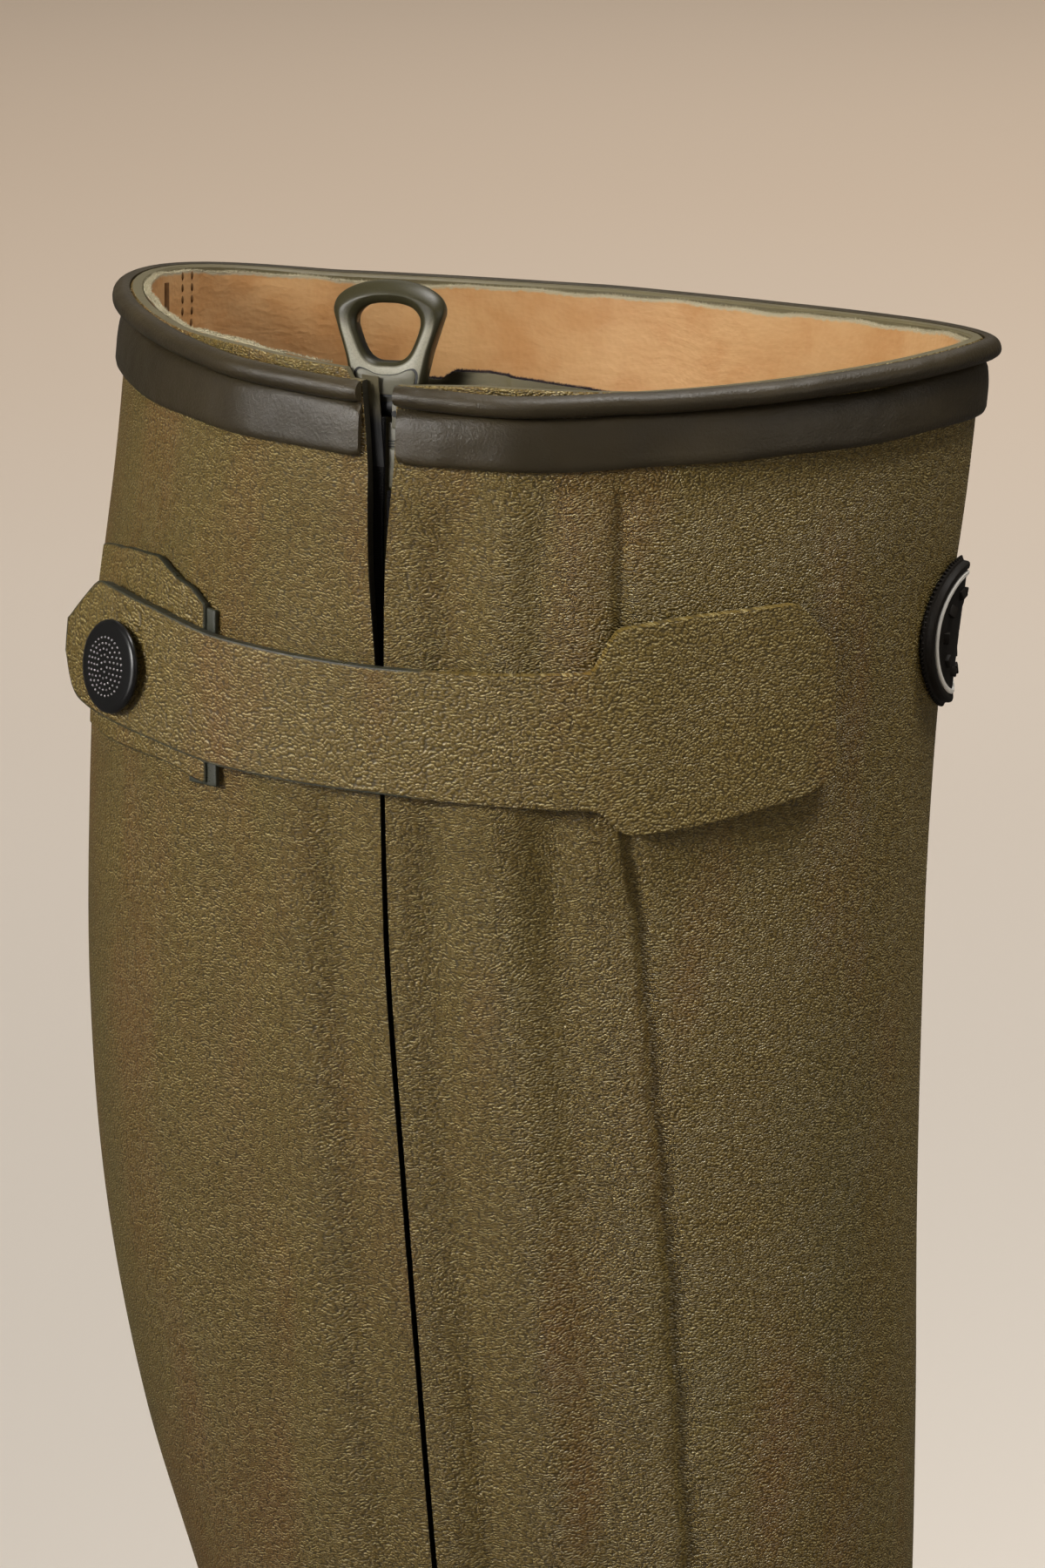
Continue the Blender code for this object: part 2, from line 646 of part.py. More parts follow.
def make_gusset(finish):
    top, under = [], []
    for travel in zip_travels(GUSSET_START, 24.0):
        arcs = np.array(GUSSET_ARCS, float)
        lift = gusset_lift(travel, arcs)
        top.append(list(wall_points(travel, arcs, lift)[0]))
        under.append(list(wall_points(travel, arcs, lift - GUSSET_THICK)[0]))
    return sheet_solid("zip_gusset", top, under, finish)


def joined(target, others, operation):
    """Target with the others added or cut away, as one plain mesh."""
    for other in others:
        step = target.modifiers.new(operation, "BOOLEAN")
        step.operation = operation
        step.solver = "EXACT"
        step.object = other
    depsgraph = bpy.context.evaluated_depsgraph_get()
    mesh = bpy.data.meshes.new_from_object(target.evaluated_get(depsgraph))
    target.modifiers.clear()
    target.data = mesh
    mesh.name = target.name
    mesh.set_sharp_from_angle(angle=math.radians(40))
    for other in others:
        bpy.data.objects.remove(other)
    return target


def plate(name, outline, start, end, chamfer, finish):
    """A flat plate: an outline of (x, z) points carried from y = start to y = end, with chamfered edges."""
    outline = np.array(outline, float)
    along = np.roll(outline, -1, axis=0) - np.roll(outline, 1, axis=0)
    out = np.stack([along[:, 1], -along[:, 0]], axis=-1)
    out /= np.linalg.norm(out, axis=-1, keepdims=True)
    levels = [(start, chamfer), (start + chamfer, 0), (end - chamfer, 0), (end, chamfer)]
    if chamfer == 0:
        levels = [(start, 0), (end, 0)]
    count = len(outline)
    points = []
    for y, inset in levels:
        points += [(x, y, z) for x, z in outline - out * inset]
    faces = [list(range(count)), [(len(levels) - 1) * count + k for k in range(count - 1, -1, -1)]]
    for level in range(len(levels) - 1):
        a, b = level * count, (level + 1) * count
        for k in range(count):
            n = (k + 1) % count
            faces.append([a + n, a + k, b + k, b + n])
    return mesh_object(name, points, faces, finish)


def box(name, low, high, finish):
    outline = [(low[0], low[2]), (high[0], low[2]), (high[0], high[2]), (low[0], high[2])]
    return plate(name, outline, low[1], high[1], 0, finish)


def bar(name, radius, start, end, centre, finish, sides=16):
    """A round bar along X between two places, about a centre of (y, z)."""
    points, faces = [], []
    for x in (start, end):
        for k in range(sides):
            angle = 2 * math.pi * k / sides
            points.append((x, centre[0] + radius * math.cos(angle), centre[1] + radius * math.sin(angle)))
    for k in range(sides):
        n = (k + 1) % sides
        faces.append([k, n, sides + n, sides + k])
    faces.append(list(range(sides - 1, -1, -1)))
    faces.append([sides + k for k in range(sides)])
    return mesh_object(name, points, faces, finish)


def slider_frame():
    """Place of the zip's slider: X forwards along the collar, Y into the boot, Z up; origin on its pin."""
    on_wall, outward = wall_point(PIN_TRAVEL, 0)
    inward = Vector(-outward)
    inward.z = 0
    inward.normalize()
    inward.rotate(Matrix.Rotation(math.radians(SLIDER_TWIST), 3, "Z"))
    forward = inward.cross(Vector((0, 0, 1)))
    pin = Vector(on_wall) + inward * PIN_DEPTH
    frame = Matrix((forward, inward, Vector((0, 0, 1)))).transposed().to_4x4()
    frame.translation = pin * MM
    return frame


def make_slider(finish):
    """A plate behind the front edge of the slit, with an ear that holds the pull's pin."""
    thick = SLIDER_HALF_THICK
    left, right = SLIDER_SIDES
    ear_side = KNUCKLE_HALF + GAP
    body = box("zip_slider", (left, -thick, SLIDER_ENDS[0]), (right, thick, SLIDER_ENDS[1]), finish)
    ear_thick = thick - EAR_INSET
    low = (ear_side + EAR_INSET, -ear_thick, SLIDER_ENDS[1] - EAR_SUNK)
    ear = box("ear", low, (right - 2 * EAR_INSET, ear_thick, .1), finish)
    ear_end = bar("ear_end", thick, ear_side, right - EAR_INSET, (0, 0), finish)
    pin = bar("pin", PIN_RADIUS, -ear_side - .3, ear_side + 1, (0, 0), finish)
    head = bar("head", PIN_HEAD[0], -ear_side - PIN_HEAD[1], -ear_side, (0, 0), finish)
    joined(body, [ear, ear_end, pin, head], "UNION")
    body.matrix_world = slider_frame()
    return body


def make_pull(finish):
    """The pull tab on the slider's pin: a rounded ring, a panel below it and a knuckle."""
    half_thick = PULL_THICK / 2
    tab = plate("zip_pull", PULL_OUTLINE, -half_thick, half_thick, PULL_CHAMFER, finish)
    neck_half = KNUCKLE_RADIUS - NECK_INSET
    low, high = (-KNUCKLE_HALF, -neck_half, NECK_ENDS[0]), (KNUCKLE_HALF, neck_half, NECK_ENDS[1])
    neck = box("neck", low, high, finish)
    knuckle = bar("knuckle", KNUCKLE_RADIUS, -KNUCKLE_HALF, KNUCKLE_HALF, (0, 0), finish)
    joined(tab, [neck, knuckle], "UNION")
    hole = plate("hole", PULL_HOLE, -PULL_THICK, PULL_THICK, 0, finish)
    bore = bar("bore", PIN_RADIUS + PIN_ROOM, -KNUCKLE_HALF - 1, KNUCKLE_HALF + 1, (0, 0), finish)
    joined(tab, [hole, bore], "DIFFERENCE")
    tab.matrix_world = slider_frame() @ Matrix.Rotation(math.radians(PULL_LEAN), 4, "X")
    return tab


# The sole and the insole

def toe_rise(x):
    return TOE_SPRING * np.clip(between(x, (SPRING_START, TOE_END)), 0, None) ** SPRING_CURVE


def sole_base(x):
    """Height of the sole's under side between the lugs."""
    arch = ease(between(x, HEEL_BREAST)) * (1 - ease(between(x, ARCH_END)))
    return toe_rise(x) + LUG_DEPTH + (ARCH_HEIGHT - LUG_DEPTH) * arch


def outline_shares():
    """Stations along the foot as shares of its length, with the heel breast and the arch met exactly."""
    row = section_at(FEATHER)
    even = (1 - np.cos(np.linspace(0, math.pi, 27))) / 2
    wanted = [HEEL_BREAST[0], sum(HEEL_BREAST) / 2, HEEL_BREAST[1], *ARCH_END]
    wanted = [(x - row["back_x"]) / (row["front_x"] - row["back_x"]) for x in wanted]
    even = [share for share in even if min(abs(share - w) for w in wanted) > .012]
    return np.array(sorted(even + wanted))


def foot_outline(margin):
    """Plan of the feather edge moved out by a margin: outer side forwards, then inner side back."""
    row, shares = section_at(FEATHER), outline_shares()
    outer = Ring.side_points(row, shares, -1)[:, :2]
    inner = Ring.side_points(row, shares, 1)[:, :2]
    plan = np.concatenate([outer, inner[-2:0:-1]])
    along = np.roll(plan, -1, axis=0) - np.roll(plan, 1, axis=0)
    out = np.stack([along[:, 1], -along[:, 0]], axis=-1)
    return plan + margin * out / np.linalg.norm(out, axis=-1, keepdims=True)


def outline_loft(name, levels, finish):
    """A solid between levels of (margin, height of each place along the foot), from the top down."""
    stations = len(outline_shares()) - 1
    count = 2 * stations
    points = []
    for margin, height in levels:
        plan = foot_outline(margin)
        points += [(x, y, z) for (x, y), z in zip(plan, height(plan[:, 0]))]
    faces = []
    for level in range(len(levels) - 1):
        a, b = level * count, (level + 1) * count
        for k in range(count):
            n = (k + 1) % count
            faces.append([a + k, b + k, b + n, a + n])
    last = (len(levels) - 1) * count
    for i in range(stations):
        strip = [i, i + 1, (count - i - 1) % count, (count - i) % count]
        strip = list(dict.fromkeys(strip))
        faces.append(strip)
        faces.append([last + k for k in reversed(strip)])
    return mesh_object(name, points, faces, finish)


def sole_level(share):
    def height(x):
        top = seat_height(x) - GAP
        return top + share * (sole_base(x) - top)
    return height


def lug_blocks():
    """Plan outlines of the lugs: each row has an outer, a centre and an inner block."""
    plan = foot_outline(SOLE_SIDE[-1][1] - LUG_INSET)
    stations = len(outline_shares()) - 1
    outer, inner = plan[: stations + 1], np.concatenate([plan[stations:], plan[:1]])[::-1]
    blocks = []
    for rows, nose in ((HEEL_LUG_ROWS, 0.0), (FOREFOOT_LUG_ROWS, 4.0)):
        for start, end in rows:
            x = np.linspace(start, end, 4)
            low, high = np.interp(x, outer[:, 0], outer[:, 1]), np.interp(x, inner[:, 0], inner[:, 1])
            middle = (low + high).mean() / 2
            near, far = CENTRE_LUG_HALF, CENTRE_LUG_HALF + LUG_GROOVE
            for bottom, top, point in ((-99, -far, 0), (-near, near, nose), (far, 99, 0)):
                below, above = np.maximum(low, middle + bottom), np.minimum(high, middle + top)
                kept = above - below > 2.5
                if kept.sum() < 2:
                    continue
                edge = list(zip(x[kept], below[kept]))
                back = list(zip(x[kept], above[kept]))[::-1]
                if point and kept.all():
                    edge.append((end + point, middle))
                    back.append((start + point, middle))
                blocks.append(edge + back)
    return blocks


def make_lugs(finish):
    points, faces = [], []
    for block in lug_blocks():
        count, start = len(block), len(points)
        x = np.array([p[0] for p in block])
        for heights in (toe_rise(x), sole_base(x) + LUG_SUNK):
            points += [(px, py, z) for (px, py), z in zip(block, heights)]
        faces.append([start + k for k in range(count - 1, -1, -1)])
        faces.append([start + count + k for k in range(count)])
        for k in range(count):
            n = (k + 1) % count
            faces.append([start + k, start + n, start + count + n, start + count + k])
    return mesh_object("lugs", points, faces, finish)


def make_outsole(finish):
    base = outline_loft("outsole", [(margin, sole_level(share)) for share, margin in SOLE_SIDE], finish)
    return joined(base, [make_lugs(finish)], "UNION")


def make_insole(finish):
    margin = -(WALL + INSOLE_ROOM)
    soft = .6
    levels = [
        (margin - soft, lambda x: seat_height(x) + INSOLE_THICK),
        (margin, lambda x: seat_height(x) + INSOLE_THICK - soft),
        (margin, lambda x: seat_height(x) + .05),
    ]
    return outline_loft("insole", levels, finish)


def main():
    clear_scene()
    rubber = material("khaki_rubber", KHAKI, .45)
    trim = material("trim_rubber", DARK_BROWN, .35)
    strap_rubber = material("strap_rubber", KHAKI, .5)
    sole_rubber = material("sole_rubber", SOLE_BROWN, .6)
    footbed = material("footbed", TAN, .7)
    tape = material("zip_tape", BLACK, .8)
    zip_plastic = material("zip_plastic", OLIVE_GREY, .4)
    gusset = material("gusset_rubber", DARK_BROWN, .6)
    snap = material("snap_black", BLACK, .35)
    badge = material("badge_rubber", DARK_BROWN, .45)
    make_upper(rubber)
    make_outsole(sole_rubber)
    make_insole(footbed)
    make_collar_band(trim)
    make_collar_bead(trim)
    strip_solid("strap", STRAP, STRAP_THICK, strap_rubber)
    strip_solid("stud_patch", STUD_PATCH, STUD_PATCH_THICK, strap_rubber)
    make_snap_cap(snap)
    make_badge(badge)
    make_tape("zip_tape_front", 1, TAPE_STARTS[0], tape)
    make_tape("zip_tape_rear", -1, TAPE_STARTS[1], tape)
    make_gusset(gusset)
    make_slider(zip_plastic)
    make_pull(zip_plastic)


if __name__ == "__main__":
    main()
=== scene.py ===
"""Looks of a tall rubber boot for the right foot: grained rubber, lining, bound collar, strap and zip.

Sizes in the tables are millimetres in the boot's own frame: +X to the toe, +Y to the inner side, +Z up.
A place on the wall is given by its travel below the collar, its arc in front of the zip line (measured
round the boot, forwards positive) and its lift off the smooth outer wall.
"""

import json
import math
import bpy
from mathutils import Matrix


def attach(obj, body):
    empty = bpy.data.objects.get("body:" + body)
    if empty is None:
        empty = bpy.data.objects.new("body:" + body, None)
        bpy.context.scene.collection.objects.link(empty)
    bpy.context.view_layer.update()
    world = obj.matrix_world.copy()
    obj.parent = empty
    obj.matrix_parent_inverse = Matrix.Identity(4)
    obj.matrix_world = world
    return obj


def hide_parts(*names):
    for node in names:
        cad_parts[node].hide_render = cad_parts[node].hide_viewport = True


bl_info = {
    "name": "Zipped rubber boot",
    "version": (1, 0, 0),
    "blender": (4, 5, 0),
    "location": "3D View > Sidebar > Boot",
    "description": "Dresses the packed frame of a tall rubber boot with its rubber, lining, trim and zip",
    "category": "Add Mesh",
}

import bmesh
import bpy
import numpy as np
from bpy.props import FloatProperty, FloatVectorProperty, PointerProperty
from mathutils import Matrix, Vector

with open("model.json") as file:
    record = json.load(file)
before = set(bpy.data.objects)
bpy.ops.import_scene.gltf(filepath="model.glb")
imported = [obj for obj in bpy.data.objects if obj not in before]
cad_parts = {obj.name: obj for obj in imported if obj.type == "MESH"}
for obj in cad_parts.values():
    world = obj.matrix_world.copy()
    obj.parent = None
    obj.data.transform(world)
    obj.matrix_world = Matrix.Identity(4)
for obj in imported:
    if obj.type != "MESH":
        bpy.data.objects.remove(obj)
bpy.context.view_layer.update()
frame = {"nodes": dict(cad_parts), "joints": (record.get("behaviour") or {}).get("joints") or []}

MM = 0.001  # the tables and sizes below are in millimetres
WALL_MAP = "wall"  # UV map of a piece on the wall: arc and travel in millimetres
RIM = "rim"  # attribute of a sheet: 1 along its cut edges; on the pull, its share of the painted reflection on the face

# Driving sizes of the wall and the pieces on it, as the frame has them
GAP = .3
ZIP_END = 318.0
INFLARE = 7.0
INFLARE_FROM = .3  # share of a section's length
BALL_STAGGER = .035
SKEW_REACH = .2
SKEW_CURVE = 1.2
ARCH_PINCH = .14
HEEL_SEAT = 31.5
BALL_SEAT = 18.5
TOE_SPRING = 12.0
SEAT_FALL = (22.0, 150.0)
SPRING_START = 172.0
SPRING_CURVE = 1.7
TOE_END = 254.0

# Sections of the last from the collar down to the feather edge.
# back and front: the section's two ends in the middle plane. dip: how far its sides sag below that line.
# follow: 1 where it lies along the seat of the sole. foot: 1 where it has the curve of the foot.
# wide_from and wide_to: shares of its length between which it keeps the widths heel, waist and ball.
SECTION_COLUMNS = (
    "back_x", "back_z", "front_x", "front_z", "dip", "follow", "foot",
    "wide_from", "wide_to", "heel", "waist", "ball", "back_round", "front_round",
    "back_skew",
)
SECTIONS = (
    (-38.0, 427, 103.4, 421.7, 4.4, 0, 0, .48, .50, 57.0, 57.0, 57.0, 2.0, 1.45, 12.0),
    (-39.2, 402, 100.8, 397.0, 3.6, 0, 0, .48, .50, 57.0, 57.0, 57.0, 2.1, 1.55, 6.0),
    (-41.4, 375, 97.3, 371.0, 2.6, 0, 0, .48, .50, 56.8, 56.8, 56.8, 2.2, 1.65, 0),
    (-43.0, 343, 95.0, 340.0, 1.6, 0, 0, .47, .50, 56.0, 56.0, 56.0, 2.2, 1.75, 0),
    (-43.2, 312, 94.0, 310.0, .8, 0, 0, .47, .50, 55.0, 55.0, 55.0, 2.2, 1.85, 0),
    (-40.8, 277, 93.4, 276.0, .2, 0, 0, .46, .50, 53.0, 53.0, 53.0, 2.15, 1.9, 0),
    (-34.7, 243, 93.4, 242.0, 0, 0, 0, .46, .50, 50.5, 50.5, 50.5, 2.1, 1.95, 0),
    (-24.3, 207, 92.9, 208.0, 0, 0, 0, .46, .50, 47.0, 47.0, 47.0, 2.05, 2.0, 0),
    (-15.5, 171, 91.6, 176.0, 0, 0, 0, .45, .51, 43.0, 43.0, 43.0, 2.0, 2.0, 0),
    (-12.5, 135, 94.0, 148.0, 0, 0, .05, .41, .53, 40.0, 40.0, 40.0, 2.0, 2.0, 0),
    (-15.5, 106, 106.5, 126.5, 0, 0, .15, .34, .55, 37.8, 38.8, 38.0, 2.0, 1.9, 0),
    (-22.5, 84, 129.0, 109.5, 0, 0, .3, .28, .57, 36.6, 38.4, 37.6, 2.05, 1.9, 0),
    (-28.8, 67, 159.0, 95.0, 0, .2, .5, .22, .59, 36.0, 38.0, 39.5, 2.15, 1.95, 0),
    (-32.8, 55, 192.0, 82.5, 0, .4, .7, .18, .61, 35.6, 37.2, 43.5, 2.2, 2.05, 0),
    (-35.2, 45.5, 223.0, 70.5, 0, .6, .85, .155, .63, 35.2, 36.0, 47.0, 2.3, 2.2, 0),
    (-36.3, 38.8, 244.0, 56.5, 0, .8, .95, .14, .65, 35.0, 35.0, 49.5, 2.3, 2.3, 0),
    (-36.4, 34.6, 252.3, 42.5, 0, .95, 1, .135, .665, 34.6, 34.2, 50.6, 2.3, 2.35, 0),
    (-36.0, 31.5, 253.5, 30.5, 0, 1, 1, .13, .67, 34.0, 33.6, 50.4, 2.3, 2.35, 0),
)

# The zip's line: travel below the collar, its place along the boot and the width of its slit.
ZIP_LINE = (
    (0, 13.0, 6.0), (15, 13.2, 4.2), (30, 12.8, 2.8), (46, 13.2, 1.5), (62, 13.6, .9), (95, 14.3, .9),
    (130, 16.4, .9), (160, 18.3, .9), (215, 22.0, .9), (270, 27.0, .9), (ZIP_END, 31.0, .9),
)

# Main creases of the shaft: arc at the top and at the bottom, half width, height (a trough is negative)
# and the travels between which the crease runs.
CREASES = (
    (-27.0, -25.0, 6.0, -.7, 58, 190),
    (-17.0, -15.5, 5.0, .6, 58, 240),
    (-9.0, -6.8, 3.8, -1.4, 56, 262),
    (7.4, 9.0, 3.6, -1.6, 56, 265),
    (18.0, 20.0, 5.0, .7, 58, 240),
    (26.6, 29.4, 4.6, -1.7, 56, 265),
    (35.0, 36.0, 4.0, -.3, 58, 235),
    (11.6, 10.0, 4.4, -2.1, 12, 66),
    (19.0, 18.0, 4.5, .5, 12, 66),
    (26.4, 25.4, 2.6, -.9, 12, 62),
    (32.0, 31.5, 4.0, .4, 12, 60),
    (38.4, 38.6, 1.5, -.7, 12, 60),
    (-13.0, -9.0, 5.0, -.5, 16, 66),
)
CREASE_RUN_OUT = 14.0  # over which a crease comes in and dies away
CREASE_SWAY = (.5, 21.0, 1.7)  # sideways: height and length of its wave, and the lag from crease to crease
CREASE_SWELL = (.22, 29.0, 2.3)  # in depth, as a share of it
FLAP_RISE = 1.4  # the flap in front of the zip is two plies, and ends in a step
FLAP_BACK = (-26.0, -12.0)
STEP_LINE = ((13, 38.2), (70, 38.2), (80, 38.8), (95, 40.2), (146, 41.0), (200, 40.6), (320, 40.6))
STEP_HALF = .9
STEP_WAVES = ((.26, 3.3, 0), (.2, 1.4, 1))  # height, length and start of each wave
GULLY_DEPTH = .5  # of the crease at the foot of the step
GULLY_HALF = 1.8
GULLY_GROWTH = 1.0  # by which it is deeper low on the shaft
GULLY_GROWS = (95.0, 180.0)
COLLAR_FLAT = (13.0, 19.0)
FOLDS_FADE = (235.0, 300.0)
FLAP_ABOVE_STRAP = .35  # share of the flap's height that shows above the strap
FLAP_GROWS = (50.0, 72.0)
LIP_RISE = .5  # the slit's edges curl outwards above the strap
LIP_REACH = 3.0
LIP_STARTS = (13.0, 24.0)
LIP_ENDS = (40.0, 60.0)

# The near wall's top stands above the bead: arc and rise
RIM_RISES = (
    (-60, 0), (-46, .2), (-34, 1.1), (-26, 1.7), (-6, 1.6), (-5, 0), (4, 0), (8, .4), (16, 1.0), (24, .9),
    (32, .5), (42, 0),
)
RIM_RUN_OUT = 6.0
RIM_ROUND = .35
ANKLE = 236.0  # travel at which the upper's rows get wider
FLAP_COLUMNS = (37.0, 43.0, 49.0)  # arcs: the columns are closest between the first two, at the step
REAR_COLUMNS = -35.0
COLUMN_ROOM = .2  # the least room between the columns beside the slit

# The collar's pieces: travel of their top and bottom edge, and thickness
BEAD_DROPS = (-.3, 3.5)
BEAD_THICK = 2.6
BAND_DROPS = (3.8, 12.4)
BAND_THICK = 1.1
BAND_WAVES = ((.2, 11.0, 0), (.12, 4.3, 1))

# The strap from its tail to the front of its patch: arc, travel of its top and bottom edge, lift.
STRAP = (
    (-60.5, 50.0, 54.0, 5.4), (-58.5, 48.0, 59.0, 5.1), (-56.5, 46.0, 60.9, 4.8), (-52.5, 42.0, 62.0, 4.2),
    (-46.0, 42.6, 63.0, 3.4), (-39.0, 43.3, 63.9, 2.7), (-28.0, 45.0, 65.7, 2.2), (-14.0, 45.8, 66.5, 1.8),
    (0, 46.2, 67.0, 1.6), (16.0, 46.1, 67.8, 1.6), (33.5, 45.9, 69.0, 1.6), (37.5, 38.7, 73.2, 1.5),
    (41.0, 38.2, 73.3, 1.5), (46.0, 37.8, 73.0, .8), (52.0, 37.4, 72.4, .4), (61.0, 37.2, 71.0, .4),
    (69.0, 37.1, 69.8, .4), (74.0, 42.8, 67.8, .4), (75.6, 45.6, 65.4, .4),
)
STRAP_THICK = 2.0
STRAP_PLAIN = (2.0, 14.0)  # arcs over which the strap's dark cut edge turns plain
STRIP_INSET = .7  # from a cut edge to the first row of the face
PATCH_WAVES = ((.12, 1.3, 0), (.072, .73, 1))
STUD_PATCH = (
    (-64.0, 38.2, 66.8, .35), (-56.0, 37.0, 67.5, .35), (-46.0, 35.8, 67.6, .35), (-41.5, 35.9, 67.7, .35),
    (-37.8, 37.6, 68.0, .35), (-32.5, 39.4, 69.6, .35), (-30.6, 41.0, 69.8, .35),
)
STUD_PATCH_THICK = 1.5
STUD_HEM = ((-34.5, 41.0, 70.2, .2), (-28.9, 41.6, 70.2, .2))
STUD_HEM_THICK = 1.0
SNAP_AT = (-46.7, 54.0)
SNAP_RADIUS = 7.6
SNAP_CROWN = 2.1  # height of the cap's middle
SNAP_FALL = .5  # from the middle to the dome's edge
SNAP_RIM = 1.1  # width of the rounded rim
SNAP_DOT = .42
SNAP_DOT_PITCH = .98
SNAP_DOT_RINGS = (.95, 4.9, .95)  # radius of the first ring, end and step
BADGE_AT = (0.0, 49.0)
BADGE_RADIUS = 12.5
BADGE_FACE = 1.9  # height
BADGE_RING_INSET = 2.35
BADGE_KNURL = (.55, .9, .42)
BADGE_KNURL_PITCH = .85
BADGE_KNURL_HEIGHT = .7
BADGE_TICK = (1.5, 1.5, 1.9)
BADGE_TICK_PITCH = 4.3
BADGE_TICK_INSET = 5.6

# The lining's edge, and its seam as places along the boot on the inner side
FACING_ARCS = (-20.0, -5.2)  # the lining's edge goes on behind the zip's rear edge
LINING_RISES = ((-105, 0), (-88, .9), (-50, .9), (-30, .2), (-12, 0))  # arc, and how far it stands up
LINING_FOLLOWS = 1.5  # share of the near rim's rise
LINING_WAVES = ((.18, 5.3, 0), (.12, 2.1, 1))
LINING_END = 6.0  # above the feather edge
LINING_CLOSES = 8.0  # above and below the zip's end
FUZZ_END = -9.5  # clear of the pull tab's swing
WELT_X = -37.4
STITCH_X = (-35.5, -34.2)
SEAM_TRAVELS = (1.5, 300.0)
SEAM_UPRIGHT = 8.0  # travel above which the seam stands upright

# The zip's parts
TAPE_WIDTH = 11.0
TAPE_THICK = .9
GUSSET_EDGES = (-18.0, 40.0)
GUSSET_BULGE = 12.0
# arc, and share of the bulge there
GUSSET_SHAPE = ((-18, 0), (-15.5, .3), (-12, .75), (-7, 1), (6, 1), (16, .82), (40, 0))
GUSSET_FADE = (20.0, ZIP_END - 40)
GUSSET_LEFT = .14  # share of the bulge that is left at the zip's end
GUSSET_THICK = 1.5
GUSSET_TOP = .8
GUSSET_RISES = ((6, 0), (9, 1.5), (16, 2.0), (26, 1.7), (34, 1.0), (40, .1))  # arc, rise of its top edge
TEETH_START = 66.0
TEETH_ARC = .55
TOOTH = (1.1, 1.1, .9)
SEAL_TRAVELS = (17.0, 38.0)
SEAL_RADIUS = 1.1
SEAL_TAPER = 6.0
SEAL_LIFT = -3.8
FACING_TRAVELS = (-.6, 14.0)
FACING_SHOWS = 1.9  # how far it reaches out of the slit's rear edge
FACING_LIFT = -2.25
FACING_THICK = .2
SLIDER_SIDES = (.4, 5.0)
SLIDER_ENDS = (-13.0, -2.4)
SLIDER_HALF_THICK = 2.0
KNUCKLE_RADIUS = 1.9
KNUCKLE_HALF = 2.1
PULL_THICK = 5.0
PULL_LEAN = -4.0
PULL_LIT = (11.5, 14.5)  # heights between which the painted reflection on the pull's face fades out to its dark colour
PULL_CRISP = 1.5  # 1 rounds the edges, more turns them into chamfers
PULL_HEART = (0, 11.6)  # both outlines are seen whole from here
PULL_EDGE_ROUNDS = (.75, 2.2)  # low and high on the pull
PULL_EDGE_GROWS = (11.5, 19.0)
PULL_HOLE_ROUNDS = (.9, 1.4)
PULL_HOLE_GROWS = (10.0, 16.0)
PULL_NECK = ((-2.1, .6), (2.1, .6), (2.6, 4.5), (-2.6, 4.5))
PULL_NECK_HALF = 1.75
PANEL_PROUD = .22  # of the pull's face
PANEL_DEPTH = .3
GROOVE_PROUD = .05
GROOVE_SPREAD = (1.08, 1.16)  # the dark groove round the panel, as a share of it

# Right halves of the pull's outline, its hole and its panel: across and above the pin
PULL_OUTLINE = (
    (0, 2.6), (3.6, 2.6), (5.5, 2.9), (6.1, 5.0), (6.9, 8.5), (8.2, 12.6), (9.0, 15.2), (8.3, 17.2),
    (6.2, 18.7), (3.2, 19.6), (0, 19.9),
)
PULL_HOLE = (
    (0, 7.0), (1.8, 7.1), (3.3, 8.0), (4.4, 10.0), (5.2, 12.6), (5.0, 14.3), (3.8, 15.6), (1.9, 16.2),
    (0, 16.3),
)
PANEL = (
    (0, 1.9), (1.7, 1.9), (2.9, 2.3), (4.4, 3.2), (4.8, 4.4), (4.75, 5.3), (4.2, 5.85), (3.2, 5.7),
    (1.7, 5.1), (0, 4.9),
)


def length_property(name, description, millimetres):
    """A size in metres that a user would change."""
    return FloatProperty(name=name, description=description, default=millimetres * MM, min=0, unit="LENGTH")


def colour_property(name, description, colour):
    return FloatVectorProperty(
        name=name, description=description, default=colour, subtype="COLOR", size=3, min=0, max=1)


class BootSizes(bpy.types.PropertyGroup):
    """Sizes of the finish that a user would change."""

    wall: length_property("Wall", "Thickness of the rubber wall", 2.2)
    lining: length_property("Lining", "Thickness of the leather lining", 1.1)
    lining_drop: length_property("Lining drop", "How far the lining's cut edge lies below the collar", .9)
    fibre: length_property("Fibre", "Length of the fibres along a cut edge", .5)
    fibre_pitch: length_property("Fibre pitch", "Spacing of the fibres along a cut edge", .08)
    stitch: length_property("Stitch", "Length of a stitch", 2.3)
    tooth_pitch: length_property("Tooth pitch", "Spacing of the zip's teeth", 1.6)
    edge_round: length_property("Edge round", "Rounding of the strap's cut edges", .4)
    grain_length: length_property("Grain length", "Length of a pebble in the rubber's grain", .56)
    grain_width: length_property("Grain width", "Width of a pebble in the rubber's grain", .33)
    grain_depth: length_property("Grain depth", "Depth of the rubber's grain", .2)
    pebble: length_property("Pebble", "Width of a pebble in the strap's grain", .43)


